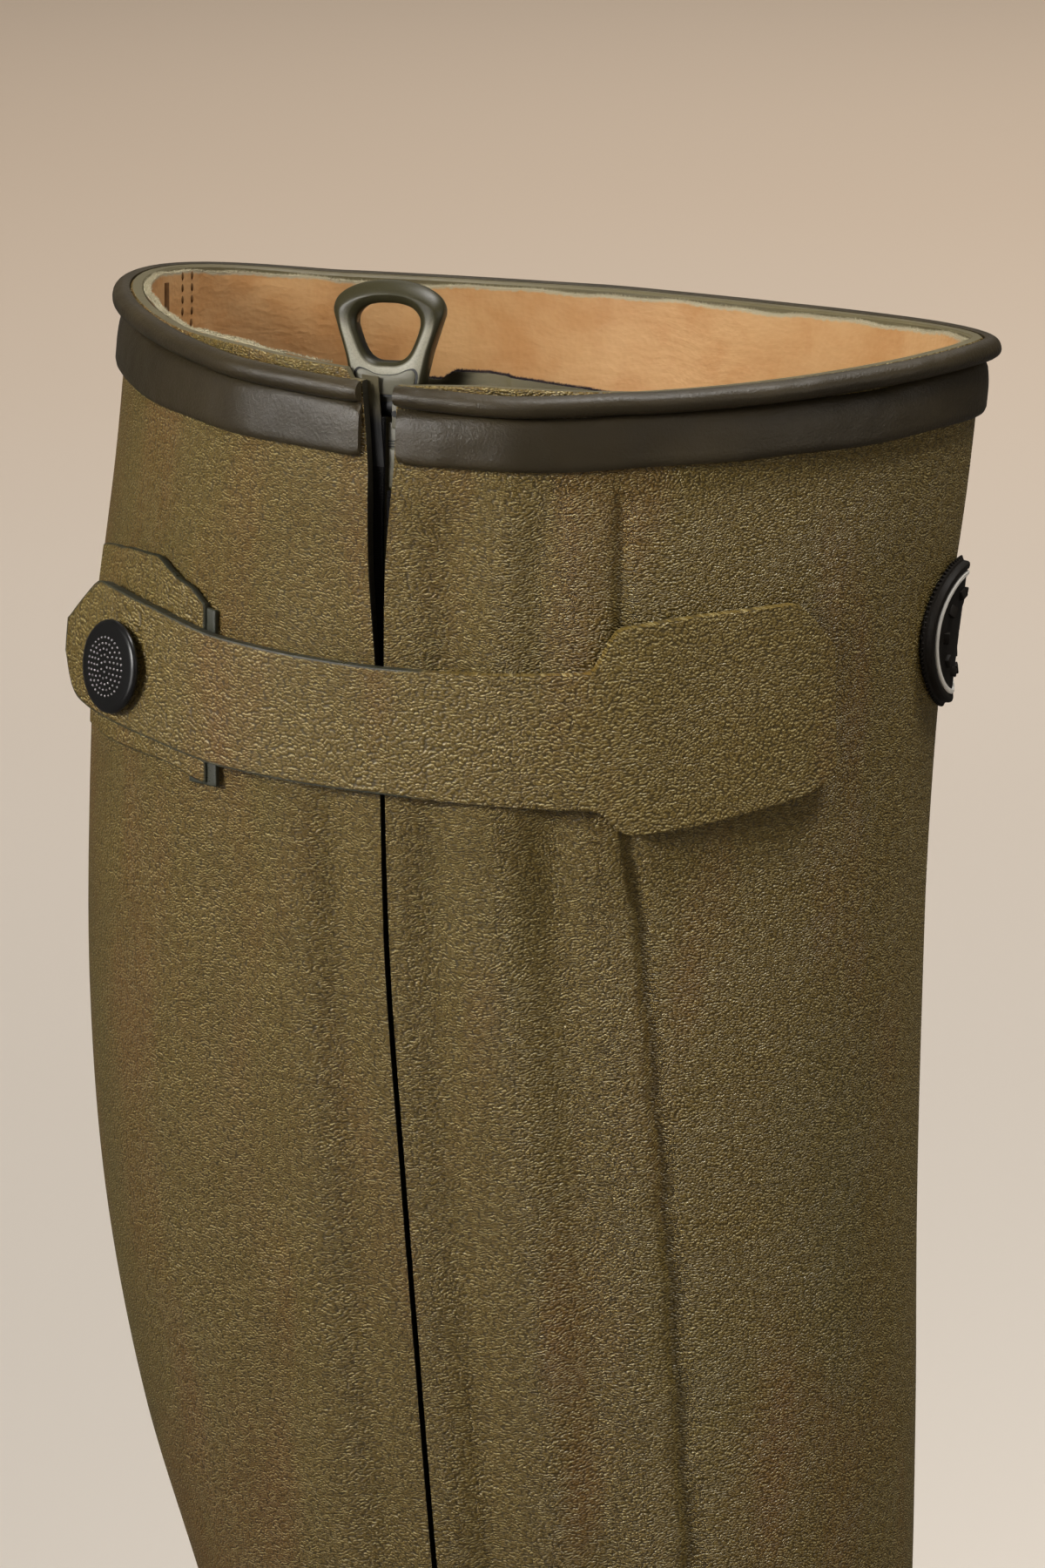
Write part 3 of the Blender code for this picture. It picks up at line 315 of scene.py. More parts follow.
class BootColours(bpy.types.PropertyGroup):
    """Colours of the finish."""

    olive: colour_property("Olive", "The rubber's main colour", (.113, .073, .010))
    brown: colour_property("Brown", "Warm patches in the rubber", (.124, .064, .008))
    moss: colour_property("Moss", "Green patches in the rubber", (.104, .078, .016))
    # painted highlight: the pale colour of the glints on the upper sides of the grain's pebbles
    painted_glint: colour_property("Crest", "Crests of the rubber's grain", (.35, .285, .13))
    cut_edge: colour_property("Cut edge", "Cut edges of strap and patch", (.026, .027, .016))
    trim: colour_property("Trim", "Collar band and bead", (.026, .019, .009))
    leather: colour_property("Leather", "Lining", (.45, .262, .112))
    leather_dark: colour_property("Leather shade", "Darker patches of the lining", (.385, .195, .070))
    felt: colour_property("Felt", "Pale fibres of the lining's cut edge", (.34, .30, .20))
    gusset: colour_property("Gusset", "Gusset behind the zip", (.095, .078, .038))
    gusset_fibre: colour_property("Gusset fibre", "Dark fibres of the gusset's edge", (.020, .013, .018))
    black: colour_property("Black", "Snap, tape and teeth", (.006, .0056, .0056))
    plastic: colour_property("Plastic", "Zip slider and the pull's panel", (.100, .092, .062))
    pull: colour_property("Pull", "Zip pull's sides and top", (.030, .026, .011))
    # painted reflection: the pale colour of the pull's face stands in for the light that it reflects
    pull_painted_sheen: colour_property("Pull face", "Zip pull's pale face", (.245, .230, .175))
    badge: colour_property("Badge", "Badge on the shin", (.010, .008, .006))
    ring: colour_property("Ring", "Pale ring of the badge", (.50, .48, .44))
    sole: colour_property("Sole", "Outsole", (.060, .046, .022))


class StageSettings(bpy.types.PropertyGroup):
    """Camera, light and floor."""

    azimuth: FloatProperty(
        name="Azimuth", description="Camera's turn from square on to the zip", default=math.radians(8),
        subtype="ANGLE")
    pitch: FloatProperty(
        name="Pitch", description="How far the camera looks down", default=math.radians(11.4),
        subtype="ANGLE")
    distance: FloatProperty(
        name="Distance", description="Camera to target", default=1.7, min=.1, unit="LENGTH")
    target: FloatVectorProperty(
        name="Target", description="What the camera looks at", default=(.028, 0, .346), subtype="XYZ")
    lens: FloatProperty(name="Lens", description="Focal length in millimetres", default=357.0, min=1)
    key_power: FloatProperty(
        name="Key light", description="Power of the soft light at the left", default=1.66, min=0)
    top_power: FloatProperty(
        name="Top light", description="Power of the soft light overhead", default=23.0, min=0)
    fill_power: FloatProperty(
        name="Fill light", description="Power of the soft light at the right", default=.02, min=0)
    floor_power: FloatProperty(
        name="Floor light", description="Power of the light on the floor behind", default=36.0, min=0)
    sheen_power: FloatProperty(
        name="Sheen light", description="Power of the wide soft box that shows in the gloss", default=19.0,
        min=0)
    rim_power: FloatProperty(
        name="Rim light", description="Power of the soft box that shows in the collar's gloss", default=2.8,
        min=0)
    ambience: FloatProperty(
        name="Ambience", description="Strength of the light all round", default=.08, min=0)
    # the floor's two colours paint a falloff of light: paler below the boot, darker behind it
    floor_near: colour_property("Floor", "Floor below the boot", (.78, .71, .63))
    floor_far: colour_property("Far floor", "Floor behind the boot", (.56, .45, .35))


# Node trees

class Value:
    """A socket of a node tree. Arithmetic on it adds Math nodes."""

    def __init__(self, graph, socket):
        self.graph = graph
        self.socket = socket

    def maths(self, operation, *terms):
        return self.graph.node("ShaderNodeMath", {"operation": operation}, dict(enumerate(terms)))

    def __add__(self, other):
        return self.maths("ADD", self, other)

    def __sub__(self, other):
        return self.maths("SUBTRACT", self, other)

    def __rsub__(self, other):
        return self.maths("SUBTRACT", other, self)

    def __mul__(self, other):
        return self.maths("MULTIPLY", self, other)

    __radd__ = __add__
    __rmul__ = __mul__


class Graph:
    """A node tree that is built by calls."""

    def __init__(self, tree):
        self.tree = tree

    def node(self, kind, settings=None, sockets=None, output=0):
        """Adds a node: its settings first, then the values or links of its sockets."""
        made = self.tree.nodes.new(kind)
        for name, value in (settings or {}).items():
            setattr(made, name, value)
        for name, value in (sockets or {}).items():
            self.feed(made.inputs[name], value)
        return Value(self, made.outputs[output])

    def feed(self, socket, value):
        if isinstance(value, Value):
            self.tree.links.new(value.socket, socket)
        else:
            socket.default_value = value

    def vector(self, operation, *terms):
        return self.node("ShaderNodeVectorMath", {"operation": operation}, dict(enumerate(terms)))


class Finish(Graph):
    """A material: its specular level goes straight to its shader, and what varies is fed by name."""

    def __init__(self, name, specular):
        self.material = bpy.data.materials.new(name)
        self.material.use_nodes = True
        super().__init__(self.material.node_tree)
        self.shader = self.tree.nodes["Principled BSDF"]
        self.shader.inputs["Specular IOR Level"].default_value = specular

    def varies(self, **sockets):
        for key, value in sockets.items():
            self.feed(self.shader.inputs[key.replace("_", " ").title()], value)
        return self.material

    def mix(self, share, low, high, blend="MIX"):
        """A colour between two colours, or one laid over the other."""
        settings = {"data_type": "RGBA", "blend_type": blend}
        return self.node("ShaderNodeMix", settings, {0: share, 6: low, 7: high}, 2)

    def places(self):
        """Arc and travel in millimetres, from the piece's own map."""
        return self.node("ShaderNodeUVMap", {"uv_map": WALL_MAP})

    def object_places(self):
        """Object coordinates in millimetres."""
        here = self.node("ShaderNodeTexCoord", output="Object")
        return self.stretched(here, (1 / MM, 1 / MM, 1 / MM))

    def rim(self):
        """The piece's own rim attribute."""
        return self.node("ShaderNodeAttribute", {"attribute_name": RIM}, None, "Fac")

    def stretched(self, places, scale):
        return self.vector("MULTIPLY", places, scale)

    def noise(self, places, scale, detail=2.0, rough=.5, output=0):
        sockets = {"Vector": places, "Scale": scale, "Detail": detail, "Roughness": rough}
        return self.node("ShaderNodeTexNoise", None, sockets, output)

    def warped(self, places, scale, amount):
        """Places pushed about by a slow noise, so that a pattern on them wanders."""
        push = self.vector("SUBTRACT", self.noise(places, scale, 1.0, output=1), (.5, .5, .5))
        return self.vector("ADD", places, self.vector("MULTIPLY", push, (amount, amount, amount)))

    def cells(self, places, scale, flat=False, smooth=.3):
        """Distance from the middle of the nearest cell."""
        settings = {"voronoi_dimensions": "2D" if flat else "3D", "feature": "SMOOTH_F1"}
        sockets = {"Vector": places, "Scale": scale, "Smoothness": smooth}
        return self.node("ShaderNodeTexVoronoi", settings, sockets)

    def ramp(self, value, start, end):
        """0 up to the start, 1 from the end, smooth between."""
        sockets = {"Value": value, "From Min": start, "From Max": end}
        return self.node("ShaderNodeMapRange", {"interpolation_type": "SMOOTHSTEP"}, sockets)

    def bump(self, height, depth, strength=1.0, over=None):
        """A bump of that depth in metres, over another bump or none."""
        sockets = {"Height": height, "Distance": depth, "Strength": strength}
        if over is not None:
            sockets["Normal"] = over
        return self.node("ShaderNodeBump", None, sockets)


class Recipe(Graph):
    """A Geometry Nodes tree with named inputs for its sizes."""

    def __init__(self, name):
        tree = bpy.data.node_groups.new(name, "GeometryNodeTree")
        super().__init__(tree)
        tree.interface.new_socket("Geometry", in_out="INPUT", socket_type="NodeSocketGeometry")
        tree.interface.new_socket("Geometry", in_out="OUTPUT", socket_type="NodeSocketGeometry")
        self.entry = tree.nodes.new("NodeGroupInput")
        self.exit = tree.nodes.new("NodeGroupOutput")
        self.sizes = {}

    def start(self):
        return Value(self, self.entry.outputs["Geometry"])

    def size(self, name, value, kind="NodeSocketFloat"):
        """A named input of the tree, with the value its modifier gets."""
        socket = self.tree.interface.new_socket(name, in_out="INPUT", socket_type=kind)
        self.sizes[socket.identifier] = value
        return Value(self, self.entry.outputs[name])

    def finished(self, obj, instances, material):
        """Realizes the instances on obj and turns the result into its plain mesh."""
        real = self.node("GeometryNodeRealizeInstances", None, {"Geometry": instances})
        painted = self.node("GeometryNodeSetMaterial", None, {"Geometry": real, "Material": material})
        self.feed(self.exit.inputs["Geometry"], painted)
        modifier = obj.modifiers.new("recipe", "NODES")
        modifier.node_group = self.tree
        for identifier, value in self.sizes.items():
            modifier[identifier] = value
        return made_plain(obj)


# Meshes

def made_plain(obj):
    """The object with its modifiers worked into a plain mesh."""
    evaluated = obj.evaluated_get(bpy.context.evaluated_depsgraph_get())
    mesh = bpy.data.meshes.new_from_object(evaluated)
    if not mesh.polygons:
        raise RuntimeError(f"{obj.name} has no faces")
    obj.modifiers.clear()
    obj.data = mesh
    mesh.name = obj.name
    mesh.shade_smooth()
    mesh.set_sharp_from_angle(angle=math.radians(45))
    return obj


def mesh_object(name, points, faces=(), edges=()):
    """A named object from points in millimetres."""
    mesh = bpy.data.meshes.new(name)
    metres = np.asarray(points, float) * MM
    mesh.from_pydata(metres.tolist(), list(edges), [list(map(int, face)) for face in faces])
    obj = bpy.data.objects.new(name, mesh)
    bpy.context.scene.collection.objects.link(obj)
    return obj


def surface(name, points, faces, materials, places=None, rim=None, sharp=40.0, outward=False, finish=None):
    """A finished surface: doubles merged, shaded smooth, with its map and its rim if it has them.

    finish gives each face's place in a list of materials.
    """
    obj = mesh_object(name, points, faces)
    mesh = obj.data
    for material in materials if isinstance(materials, (list, tuple)) else [materials]:
        mesh.materials.append(material)
    if finish is not None:
        mesh.polygons.foreach_set("material_index", np.asarray(finish, np.int32))
    if places is not None:
        corners = np.empty(len(mesh.loops), int)
        mesh.loops.foreach_get("vertex_index", corners)
        at_corners = np.asarray(places, float)[corners].ravel()
        mesh.uv_layers.new(name=WALL_MAP).uv.foreach_set("vector", at_corners)
    if rim is not None:
        mesh.attributes.new(RIM, "FLOAT", "POINT").data.foreach_set("value", np.asarray(rim, float))
    work = bmesh.new()
    work.from_mesh(mesh)
    bmesh.ops.remove_doubles(work, verts=work.verts, dist=1e-6)
    if outward:
        bmesh.ops.recalc_face_normals(work, faces=work.faces)
    work.to_mesh(mesh)
    work.free()
    mesh.shade_smooth()
    mesh.set_sharp_from_angle(angle=math.radians(sharp))
    return obj


def bevelled(obj, width, segments=3, angle=50.0):
    """The object with its sharp edges rounded."""
    step = obj.modifiers.new("rounded", "BEVEL")
    step.width = width
    step.segments = segments
    step.limit_method = "ANGLE"
    step.angle_limit = math.radians(angle)
    return made_plain(obj)


def grid_faces(rows, columns, start=0, flip=False, closed=False):
    """Quads of a grid of points; a closed one joins its last column to its first."""
    index = start + np.arange(rows * columns).reshape(rows, columns)
    if closed:
        index = np.concatenate([index, index[:, :1]], axis=1)
    corners = [index[:-1, :-1], index[1:, :-1], index[1:, 1:], index[:-1, 1:]]
    quads = np.stack(corners, axis=-1).reshape(-1, 4)
    return quads[:, ::-1] if flip else quads


def sheet(name, top, under, places, material, rim=None):
    """A closed sheet from two grids of points with the same rows and columns; top is the outer side."""
    rows, columns = top.shape[:2]
    count = rows * columns
    faces = [*grid_faces(rows, columns), *grid_faces(rows, columns, count, flip=True)]
    index = np.arange(count).reshape(rows, columns)
    border = [*index[0], *index[1:, -1], *index[-1, -2::-1], *index[-2:0:-1, 0]]
    for a, b in zip(border, border[1:] + border[:1]):
        faces.append([a, b, count + b, count + a])
    points = np.concatenate([top.reshape(-1, 3), under.reshape(-1, 3)])
    twice = np.tile(np.reshape(places, (-1, 2)), (2, 1))
    return surface(name, points, faces, material, twice, None if rim is None else np.tile(np.ravel(rim), 2))


def lathe(name, profile, place, material, sides=64):
    """A turned piece: the profile runs from the axis underneath, round the rim, to the axis on top."""
    angles = np.linspace(0, 2 * math.pi, sides, endpoint=False)
    points = np.concatenate([place(radius, angles, height) for radius, height in profile])
    faces = grid_faces(len(profile), sides, closed=True, flip=True)
    return surface(name, points, faces, material)


def polyline(name, lines):
    """A wire of several open lines, for a recipe to work along."""
    points, edges = [], []
    for line in lines:
        edges += [(len(points) + k, len(points) + k + 1) for k in range(len(line) - 1)]
        points += list(line)
    return mesh_object(name, points, edges=edges)


def declare(obj, replaced=(), body="boot"):
    """Ties a finished piece to its body and hides the nodes it stands for."""
    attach(obj, body)
    if replaced:
        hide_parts(*replaced)


# The last: sections, rings and the outer wall

def ease(x):
    """0 below 0, 1 above 1, and a smooth rise between."""
    x = np.clip(x, 0, 1)
    return x * x * (3 - 2 * x)


def between(x, limits):
    return (x - limits[0]) / (limits[1] - limits[0])


def waves(x, table):
    """Sum of the waves in a table of (height, length, start)."""
    return sum(height * np.sin(x / length + start) for height, length, start in table)


def hump(x, middle, half_width):
    """A soft rise to 1 at the middle."""
    return np.exp(-(((x - middle) / half_width) ** 2))


def from_table(x, table):
    """The table's second column at each x."""
    return np.interp(x, *zip(*table))


def curve_through(knots, values, x):
    """A smooth curve through the values at the knots, with the slopes that three neighbours give."""
    knots = np.asarray(knots, float)
    values = np.asarray(values, float)
    steps = np.diff(knots)
    slopes = np.diff(values, axis=0) / steps.reshape(-1, *[1] * (values.ndim - 1))
    tangents = np.empty_like(values)
    tangents[0], tangents[-1] = slopes[0], slopes[-1]
    for i in range(1, len(knots) - 1):
        share = steps[i] / (steps[i - 1] + steps[i])
        tangents[i] = share * slopes[i - 1] + (1 - share) * slopes[i]
    i = int(np.clip(np.searchsorted(knots, x) - 1, 0, len(knots) - 2))
    h = steps[i]
    t = (x - knots[i]) / h
    return (
        (2 * t**3 - 3 * t**2 + 1) * values[i] + (t**3 - 2 * t**2 + t) * h * tangents[i]
        + (3 * t**2 - 2 * t**3) * values[i + 1] + (t**3 - t**2) * h * tangents[i + 1]
    )


def seat_height(x):
    """Height of the feather edge: level under the heel, down to the ball, and up to the toe."""
    fall = (HEEL_SEAT - BALL_SEAT) * ease(between(x, SEAT_FALL))
    rise = np.clip(between(x, (SPRING_START, TOE_END)), 0, None) ** SPRING_CURVE
    return HEEL_SEAT - fall + TOE_SPRING * rise


def section_travels():
    """How far each section lies below the collar, as the mean path of its two ends."""
    ends = np.array([row[:4] for row in SECTIONS], float)
    steps = np.diff(ends, axis=0)
    paths = (np.hypot(steps[:, 0], steps[:, 1]) + np.hypot(steps[:, 2], steps[:, 3])) / 2
    return np.concatenate([[0], np.cumsum(paths)])


TRAVELS = section_travels()
FEATHER = float(TRAVELS[-1])


def zip_at(travel):
    """(place along the boot, slit width) of the zip line."""
    rows = np.array(ZIP_LINE, float)
    return curve_through(rows[:, 0], rows[:, 1:], min(travel, ZIP_END))


def zip_at_rows(travels):
    return np.array([zip_at(travel) for travel in travels])


def half_widths(share, row, side):
    """Half width of a section at each share of its length, on the outer (-1) or inner (+1) side."""
    shift = side * BALL_STAGGER * row["foot"]
    start, end = row["wide_from"], row["wide_to"] + shift
    middle = (start + end) / 2
    waist = row["waist"] * (1 - (ARCH_PINCH if side > 0 else -ARCH_PINCH / 3) * row["foot"])
    width = np.where(
        share < middle,
        row["heel"] + (waist - row["heel"]) * ease(between(share, (start, middle))),
        waist + (row["ball"] - waist) * ease(between(share, (middle, end))),
    )
    back = np.clip(1 - share / start, 0, 1) ** row["back_round"]
    front = np.clip(between(share, (end, 1)), 0, 1) ** row["front_round"]
    return width * (1 - back) ** (1 / row["back_round"]) * (1 - front) ** (1 / row["front_round"])


class Ring:
    """One section of the outer wall, measured along its arc from the zip line, forwards positive."""

    STEPS = 240

    def __init__(self, travel):
        row = dict(zip(SECTION_COLUMNS, curve_through(TRAVELS, SECTIONS, travel)))
        share = (1 - np.cos(np.linspace(0, math.pi, self.STEPS + 1))) / 2
        outer = self.side_points(row, share, -1)
        inner = self.side_points(row, share, 1)
        self.closed = np.concatenate([outer, inner[-2::-1]])
        lengths = np.linalg.norm(np.diff(self.closed, axis=0), axis=1)
        self.arcs = np.concatenate([[0], np.cumsum(lengths)])
        self.length = self.arcs[-1]
        self.zip_arc = np.interp(zip_at(travel)[0], outer[:, 0], self.arcs[: self.STEPS + 1])
        self.front = self.arcs[self.STEPS] - self.zip_arc
        self.back = -self.zip_arc

    @staticmethod
    def side_points(row, share, side):
        x = row["back_x"] + share * (row["front_x"] - row["back_x"])
        follow = row["follow"]
        back_lift = row["back_z"] - follow * seat_height(row["back_x"])
        front_lift = row["front_z"] - follow * seat_height(row["front_x"])
        z = back_lift + share * (front_lift - back_lift) + follow * seat_height(x)
        z = z - row["dip"] * 4 * share * (1 - share)
        centre = INFLARE * row["foot"] * ease(between(share, (INFLARE_FROM, 1)))
        centre = centre + row["back_skew"] * np.clip(1 - share / SKEW_REACH, 0, 1) ** SKEW_CURVE
        return np.stack([x, centre + side * half_widths(share, row, side), z], axis=-1)

    def inner_arc(self, x):
        """Arc on the inner side where the ring passes a place along the boot."""
        inner = slice(self.STEPS, None)
        return np.interp(-x, -self.closed[inner, 0], self.arcs[inner]) - self.zip_arc

    def at(self, arcs):
        place = np.mod(arcs + self.zip_arc, self.length)
        return np.stack([np.interp(place, self.arcs, self.closed[:, k]) for k in range(3)], axis=-1)


class Wall:
    """The smooth outer wall, as rings about a millimetre of travel apart."""

    def __init__(self):
        self.steps = math.ceil(FEATHER)
        self.levels = np.linspace(0, FEATHER, self.steps + 1)
        self.rings = [Ring(travel) for travel in self.levels]

    def along(self, travel, name):
        """A measure of the rings, such as their length, at each travel."""
        return np.interp(travel, self.levels, [getattr(ring, name) for ring in self.rings])

    def at(self, travel, arc):
        travel, arc = np.broadcast_arrays(np.asarray(travel, float), np.asarray(arc, float))
        place = np.clip(travel / FEATHER, 0, 1) * self.steps
        level = np.minimum(place.astype(int), self.steps - 1)
        points = np.empty(travel.shape + (3,))
        for k in np.unique(level):
            here = level == k
            high, low = self.rings[k].at(arc[here]), self.rings[k + 1].at(arc[here])
            points[here] = high + (low - high) * (place[here] - k)[:, None]
        points[..., 2] += np.maximum(-travel, 0)
        return points

    def normals(self, travel, arc, step=1.0):
        along = self.at(travel, arc + step) - self.at(travel, arc - step)
        down = self.at(travel + step, arc) - self.at(travel - step, arc)
        normals = np.cross(along, -down)
        return normals / np.linalg.norm(normals, axis=-1, keepdims=True)

    def lifted(self, travel, arc, lift):
        travel, arc, lift = np.broadcast_arrays(*(np.asarray(a, float) for a in (travel, arc, lift)))
        return self.at(travel, arc) + self.normals(travel, arc) * lift[..., None]


WALL = Wall()


def wrapped(travel, arc):
    """Arcs brought to the nearer way round from the zip line."""
    length = WALL.along(travel, "length")
    return np.mod(arc + length / 2, length) - length / 2


def relief_share(travel):
    """How much of the flap shows: none under the collar band, none at the ankle."""
    return ease(between(travel, COLLAR_FLAT)) * (1 - ease(between(travel, FOLDS_FADE)))


def crease_height(travel, arc):
    """Height of the main creases, inside and out."""
    travel, arc = np.broadcast_arrays(np.asarray(travel, float), wrapped(travel, arc))
    height = np.zeros(travel.shape)
    for number, (top, bottom, half_width, fold, start, end) in enumerate(CREASES):
        sway, swell = (
            high * np.sin(travel / length + lag * number)
            for high, length, lag in (CREASE_SWAY, CREASE_SWELL)
        )
        centre = top + (bottom - top) * between(travel, (start, end)) + sway
        run = ease((travel - start) / CREASE_RUN_OUT) * ease((end - travel) / CREASE_RUN_OUT)
        height = height + run * fold * (1 + swell) * hump(arc, centre, half_width)
    return height


def flap_height(travel, arc):
    """Height of the flap's second ply, on the outside only, with its wavering step in front."""
    arc = wrapped(travel, arc)
    edge = from_table(travel, STEP_LINE) + waves(travel, STEP_WAVES)
    shows = FLAP_ABOVE_STRAP + (1 - FLAP_ABOVE_STRAP) * ease(between(travel, FLAP_GROWS))
    step = 1 - ease((arc - edge + STEP_HALF) / (2 * STEP_HALF))
    low = 1 + GULLY_GROWTH * ease(between(travel, GULLY_GROWS))
    gully = GULLY_DEPTH * low * hump(arc, edge + STEP_HALF, GULLY_HALF * low**.5)
    return (FLAP_RISE * ease(between(arc, FLAP_BACK)) * step - gully) * relief_share(travel) * shows


def lip_height(travel, arc):
    """The slit's edges curl outwards above the strap."""
    reach = np.abs(wrapped(travel, arc))
    run = ease(between(travel, LIP_STARTS)) * (1 - ease(between(travel, LIP_ENDS)))
    return LIP_RISE * np.exp(-reach / LIP_REACH) * run


# Finishes

def times(colour, share):
    """The colour made lighter or darker."""
    return [min(part * share, 1) for part in colour]


def opaque(colour, share=1.0):
    return (*times(colour, share), 1)


def grained_rubber(name, colours, grain, depth, rim_colour=None):
    """Rubber with a fine pebbled grain of (length, width), soft patches of colour and a satin gloss, with
    painted highlights on the pebbles' upper sides and painted shade in the gaps between them.
    """
    finish = Finish(name, specular=.42)
    places = finish.places()
    body = finish.object_places()
    arc = finish.node("ShaderNodeSeparateXYZ", None, {0: places}, 0)
    patches = finish.noise(finish.stretched(body, (1 / 15, 1 / 15, 1 / 58)), 1.0, 2.0)
    green = finish.noise(finish.stretched(body, (1 / 26, 1 / 26, 1 / 80)), 1.0, 1.0)
    behind = 1 - finish.ramp(arc, -56, -30)
    warm = finish.ramp(patches + behind * .16, .5, .76)
    colour = finish.mix(warm, opaque(colours.olive), opaque(colours.brown))
    colour = finish.mix(finish.ramp(green, .55, .8) * .6, colour, opaque(colours.moss))
    wander = finish.warped(finish.warped(places, .055, 4.0), .5, .8)
    fine = finish.stretched(wander, (1 / grain[0], 1 / grain[1], 1))
    folds = 1 - finish.ramp(finish.cells(fine, 1.0, True, .2), .12, .8)
    # the grain a little higher up, so that the painted highlights fall on each pebble's upper side
    above = 1 - finish.ramp(finish.cells(finish.vector("ADD", fine, (0, -.34, 0)), 1.0, True, .2), .12, .8)
    # painted shade: the gaps between the pebbles are darkened
    shade = finish.mix(finish.ramp(folds, 0, .55), (.48, .48, .48, 1), (1.0, 1.0, 1.0, 1))
    colour = finish.mix(1.0, colour, shade, "MULTIPLY")
    # painted highlight: pale glints on the upper side of some pebbles, where light from above would catch
    glint = finish.ramp(folds - above, .12, .5) * finish.ramp(finish.noise(places, .75, 3.0, .6), .42, .6)
    colour = finish.mix(glint * .85, colour, opaque(colours.painted_glint))
    height = folds
    if rim_colour is not None:
        edge = finish.ramp(finish.rim(), .35, .9)
        colour = finish.mix(edge, colour, opaque(rim_colour))
        height = folds * (1 - edge)
    slow = finish.bump(finish.noise(places, .12, 2.0), .25 * MM)
    surface_bump = finish.bump(height, depth, 1.0, slow)
    rough = .54 - glint * .3
    return finish.varies(base_color=colour, roughness=rough, normal=surface_bump)


def trim_rubber(colours):
    """Smooth dark binding with a fine leathery skin."""
    finish = Finish("trim_rubber", specular=.3)
    places = finish.object_places()
    cloud = finish.noise(places, .05, 3.0)
    colour = finish.mix(finish.ramp(cloud, .35, .7), opaque(colours.trim), opaque(colours.trim, 1.4))
    skin = finish.noise(finish.warped(places, .8, .6), 1.9, 3.0, .65)
    bump = finish.bump(skin, .11 * MM, 1.0, finish.bump(finish.noise(places, .14, 1.0), .5 * MM))
    return finish.varies(base_color=colour, roughness=.32 + skin * .22, normal=bump)


def lining_leather(colours, edge_travel):
    """Tan leather with soft mottling and pores; its cut edge at the collar is pale felt."""
    finish = Finish("lining_leather", specular=.35)
    places = finish.places()
    travel = finish.node("ShaderNodeSeparateXYZ", None, {0: places}, 1)
    body = finish.object_places()
    mottle = finish.noise(finish.warped(body, .06, 9.0), .09, 4.0, .6)
    colour = finish.mix(finish.ramp(mottle, .3, .68), opaque(colours.leather_dark), opaque(colours.leather))
    pores = finish.cells(body, 1.15)
    creases = finish.noise(finish.stretched(finish.warped(places, .1, 4.0), (1 / 6, 1 / 1.6, 1)), 1.0, 3.0)
    ragged = travel + finish.noise(body, 1.1, 2.0) * .8
    felt = 1 - finish.ramp(ragged, edge_travel + .55, edge_travel + 1.0)
    colour = finish.mix(felt, colour, opaque(colours.felt))
    bump = finish.bump(pores, .06 * MM, .8, finish.bump(creases, .22 * MM, .7))
    return finish.varies(base_color=colour, roughness=.52 + mottle * .2, normal=bump)


def felt_fibre(name, colour):
    """Loose fibres, lighter and darker along an edge."""
    finish = Finish(name, specular=.2)
    shade = finish.noise(finish.object_places(), 1.3, 1.0)
    mixed = finish.mix(shade, opaque(colour, .7), opaque(colour, 1.25))
    return finish.varies(base_color=mixed, roughness=.85 - shade * .1)


def moulded_plastic(name, colour, rough, speckle=.12, face=None, gloss=.4):
    """Moulded plastic with a fine spark-eroded skin; face is a painted reflection, its colour where the rim
    attribute is 1.
    """
    finish = Finish(name, specular=gloss)
    places = finish.object_places()
    fine = finish.noise(places, 4.5, 2.0, .7)
    cloud = finish.noise(places, .4, 2.0)
    base = opaque(colour)
    if face is not None:
        # painted reflection: the face colour where the rim attribute is 1
        base = finish.mix(finish.rim(), base, opaque(face))
    low, high = 1 - speckle, 1 + speckle
    mixed = finish.mix(1.0, base, finish.mix(fine, (low, low, low, 1), (high, high, high, 1)), "MULTIPLY")
    bump = finish.bump(fine, .014 * MM)
    return finish.varies(base_color=mixed, roughness=rough + cloud * .12, normal=bump)


def woven_tape(colours):
    """Black zip tape: a fine rib weave along the zip."""
    finish = Finish("zip_tape", specular=.1)
    places = finish.object_places()
    sockets = {"Vector": places, "Scale": 1.1, "Distortion": 1.0}
    weave = finish.node("ShaderNodeTexWave", {"bands_direction": "Z"}, sockets)
    colour = finish.mix(weave, opaque(colours.black), opaque(colours.black, 1.3))
    return finish.varies(base_color=colour, roughness=.85 + weave * .1, normal=finish.bump(weave, .05 * MM))


def gusset_rubber(name, colour):
    """Rubberised cloth: matt, with the cloth's rib showing through."""
    finish = Finish(name, specular=.35)
    places = finish.places()
    rib = finish.noise(finish.stretched(places, (1 / 1.8, 1 / .5, 1)), 1.0, 1.0)
    cloud = finish.noise(places, .08, 2.0)
    mixed = finish.mix(cloud, opaque(colour, .75), opaque(colour, 1.2))
    return finish.varies(base_color=mixed, roughness=.5 + rib * .15, normal=finish.bump(rib, .06 * MM))


def facing_rubber(colours):
    """Smooth olive rubber, darkened to black with painted shade as it runs down into the slit."""
    finish = Finish("zip_facing", specular=.2)
    places = finish.places()
    travel = finish.node("ShaderNodeSeparateXYZ", None, {0: places}, 1)
    cloud = finish.noise(places, .5, 2.0)
    # painted shade: the strip turns black further down into the slit
    slit_shade = finish.ramp(travel + cloud * 2, 3.5, 8.5)
    colour = finish.mix(slit_shade, opaque(colours.gusset, .7), opaque(colours.black))
    return finish.varies(base_color=colour, roughness=.55 + cloud * .2, normal=finish.bump(cloud, .1 * MM))


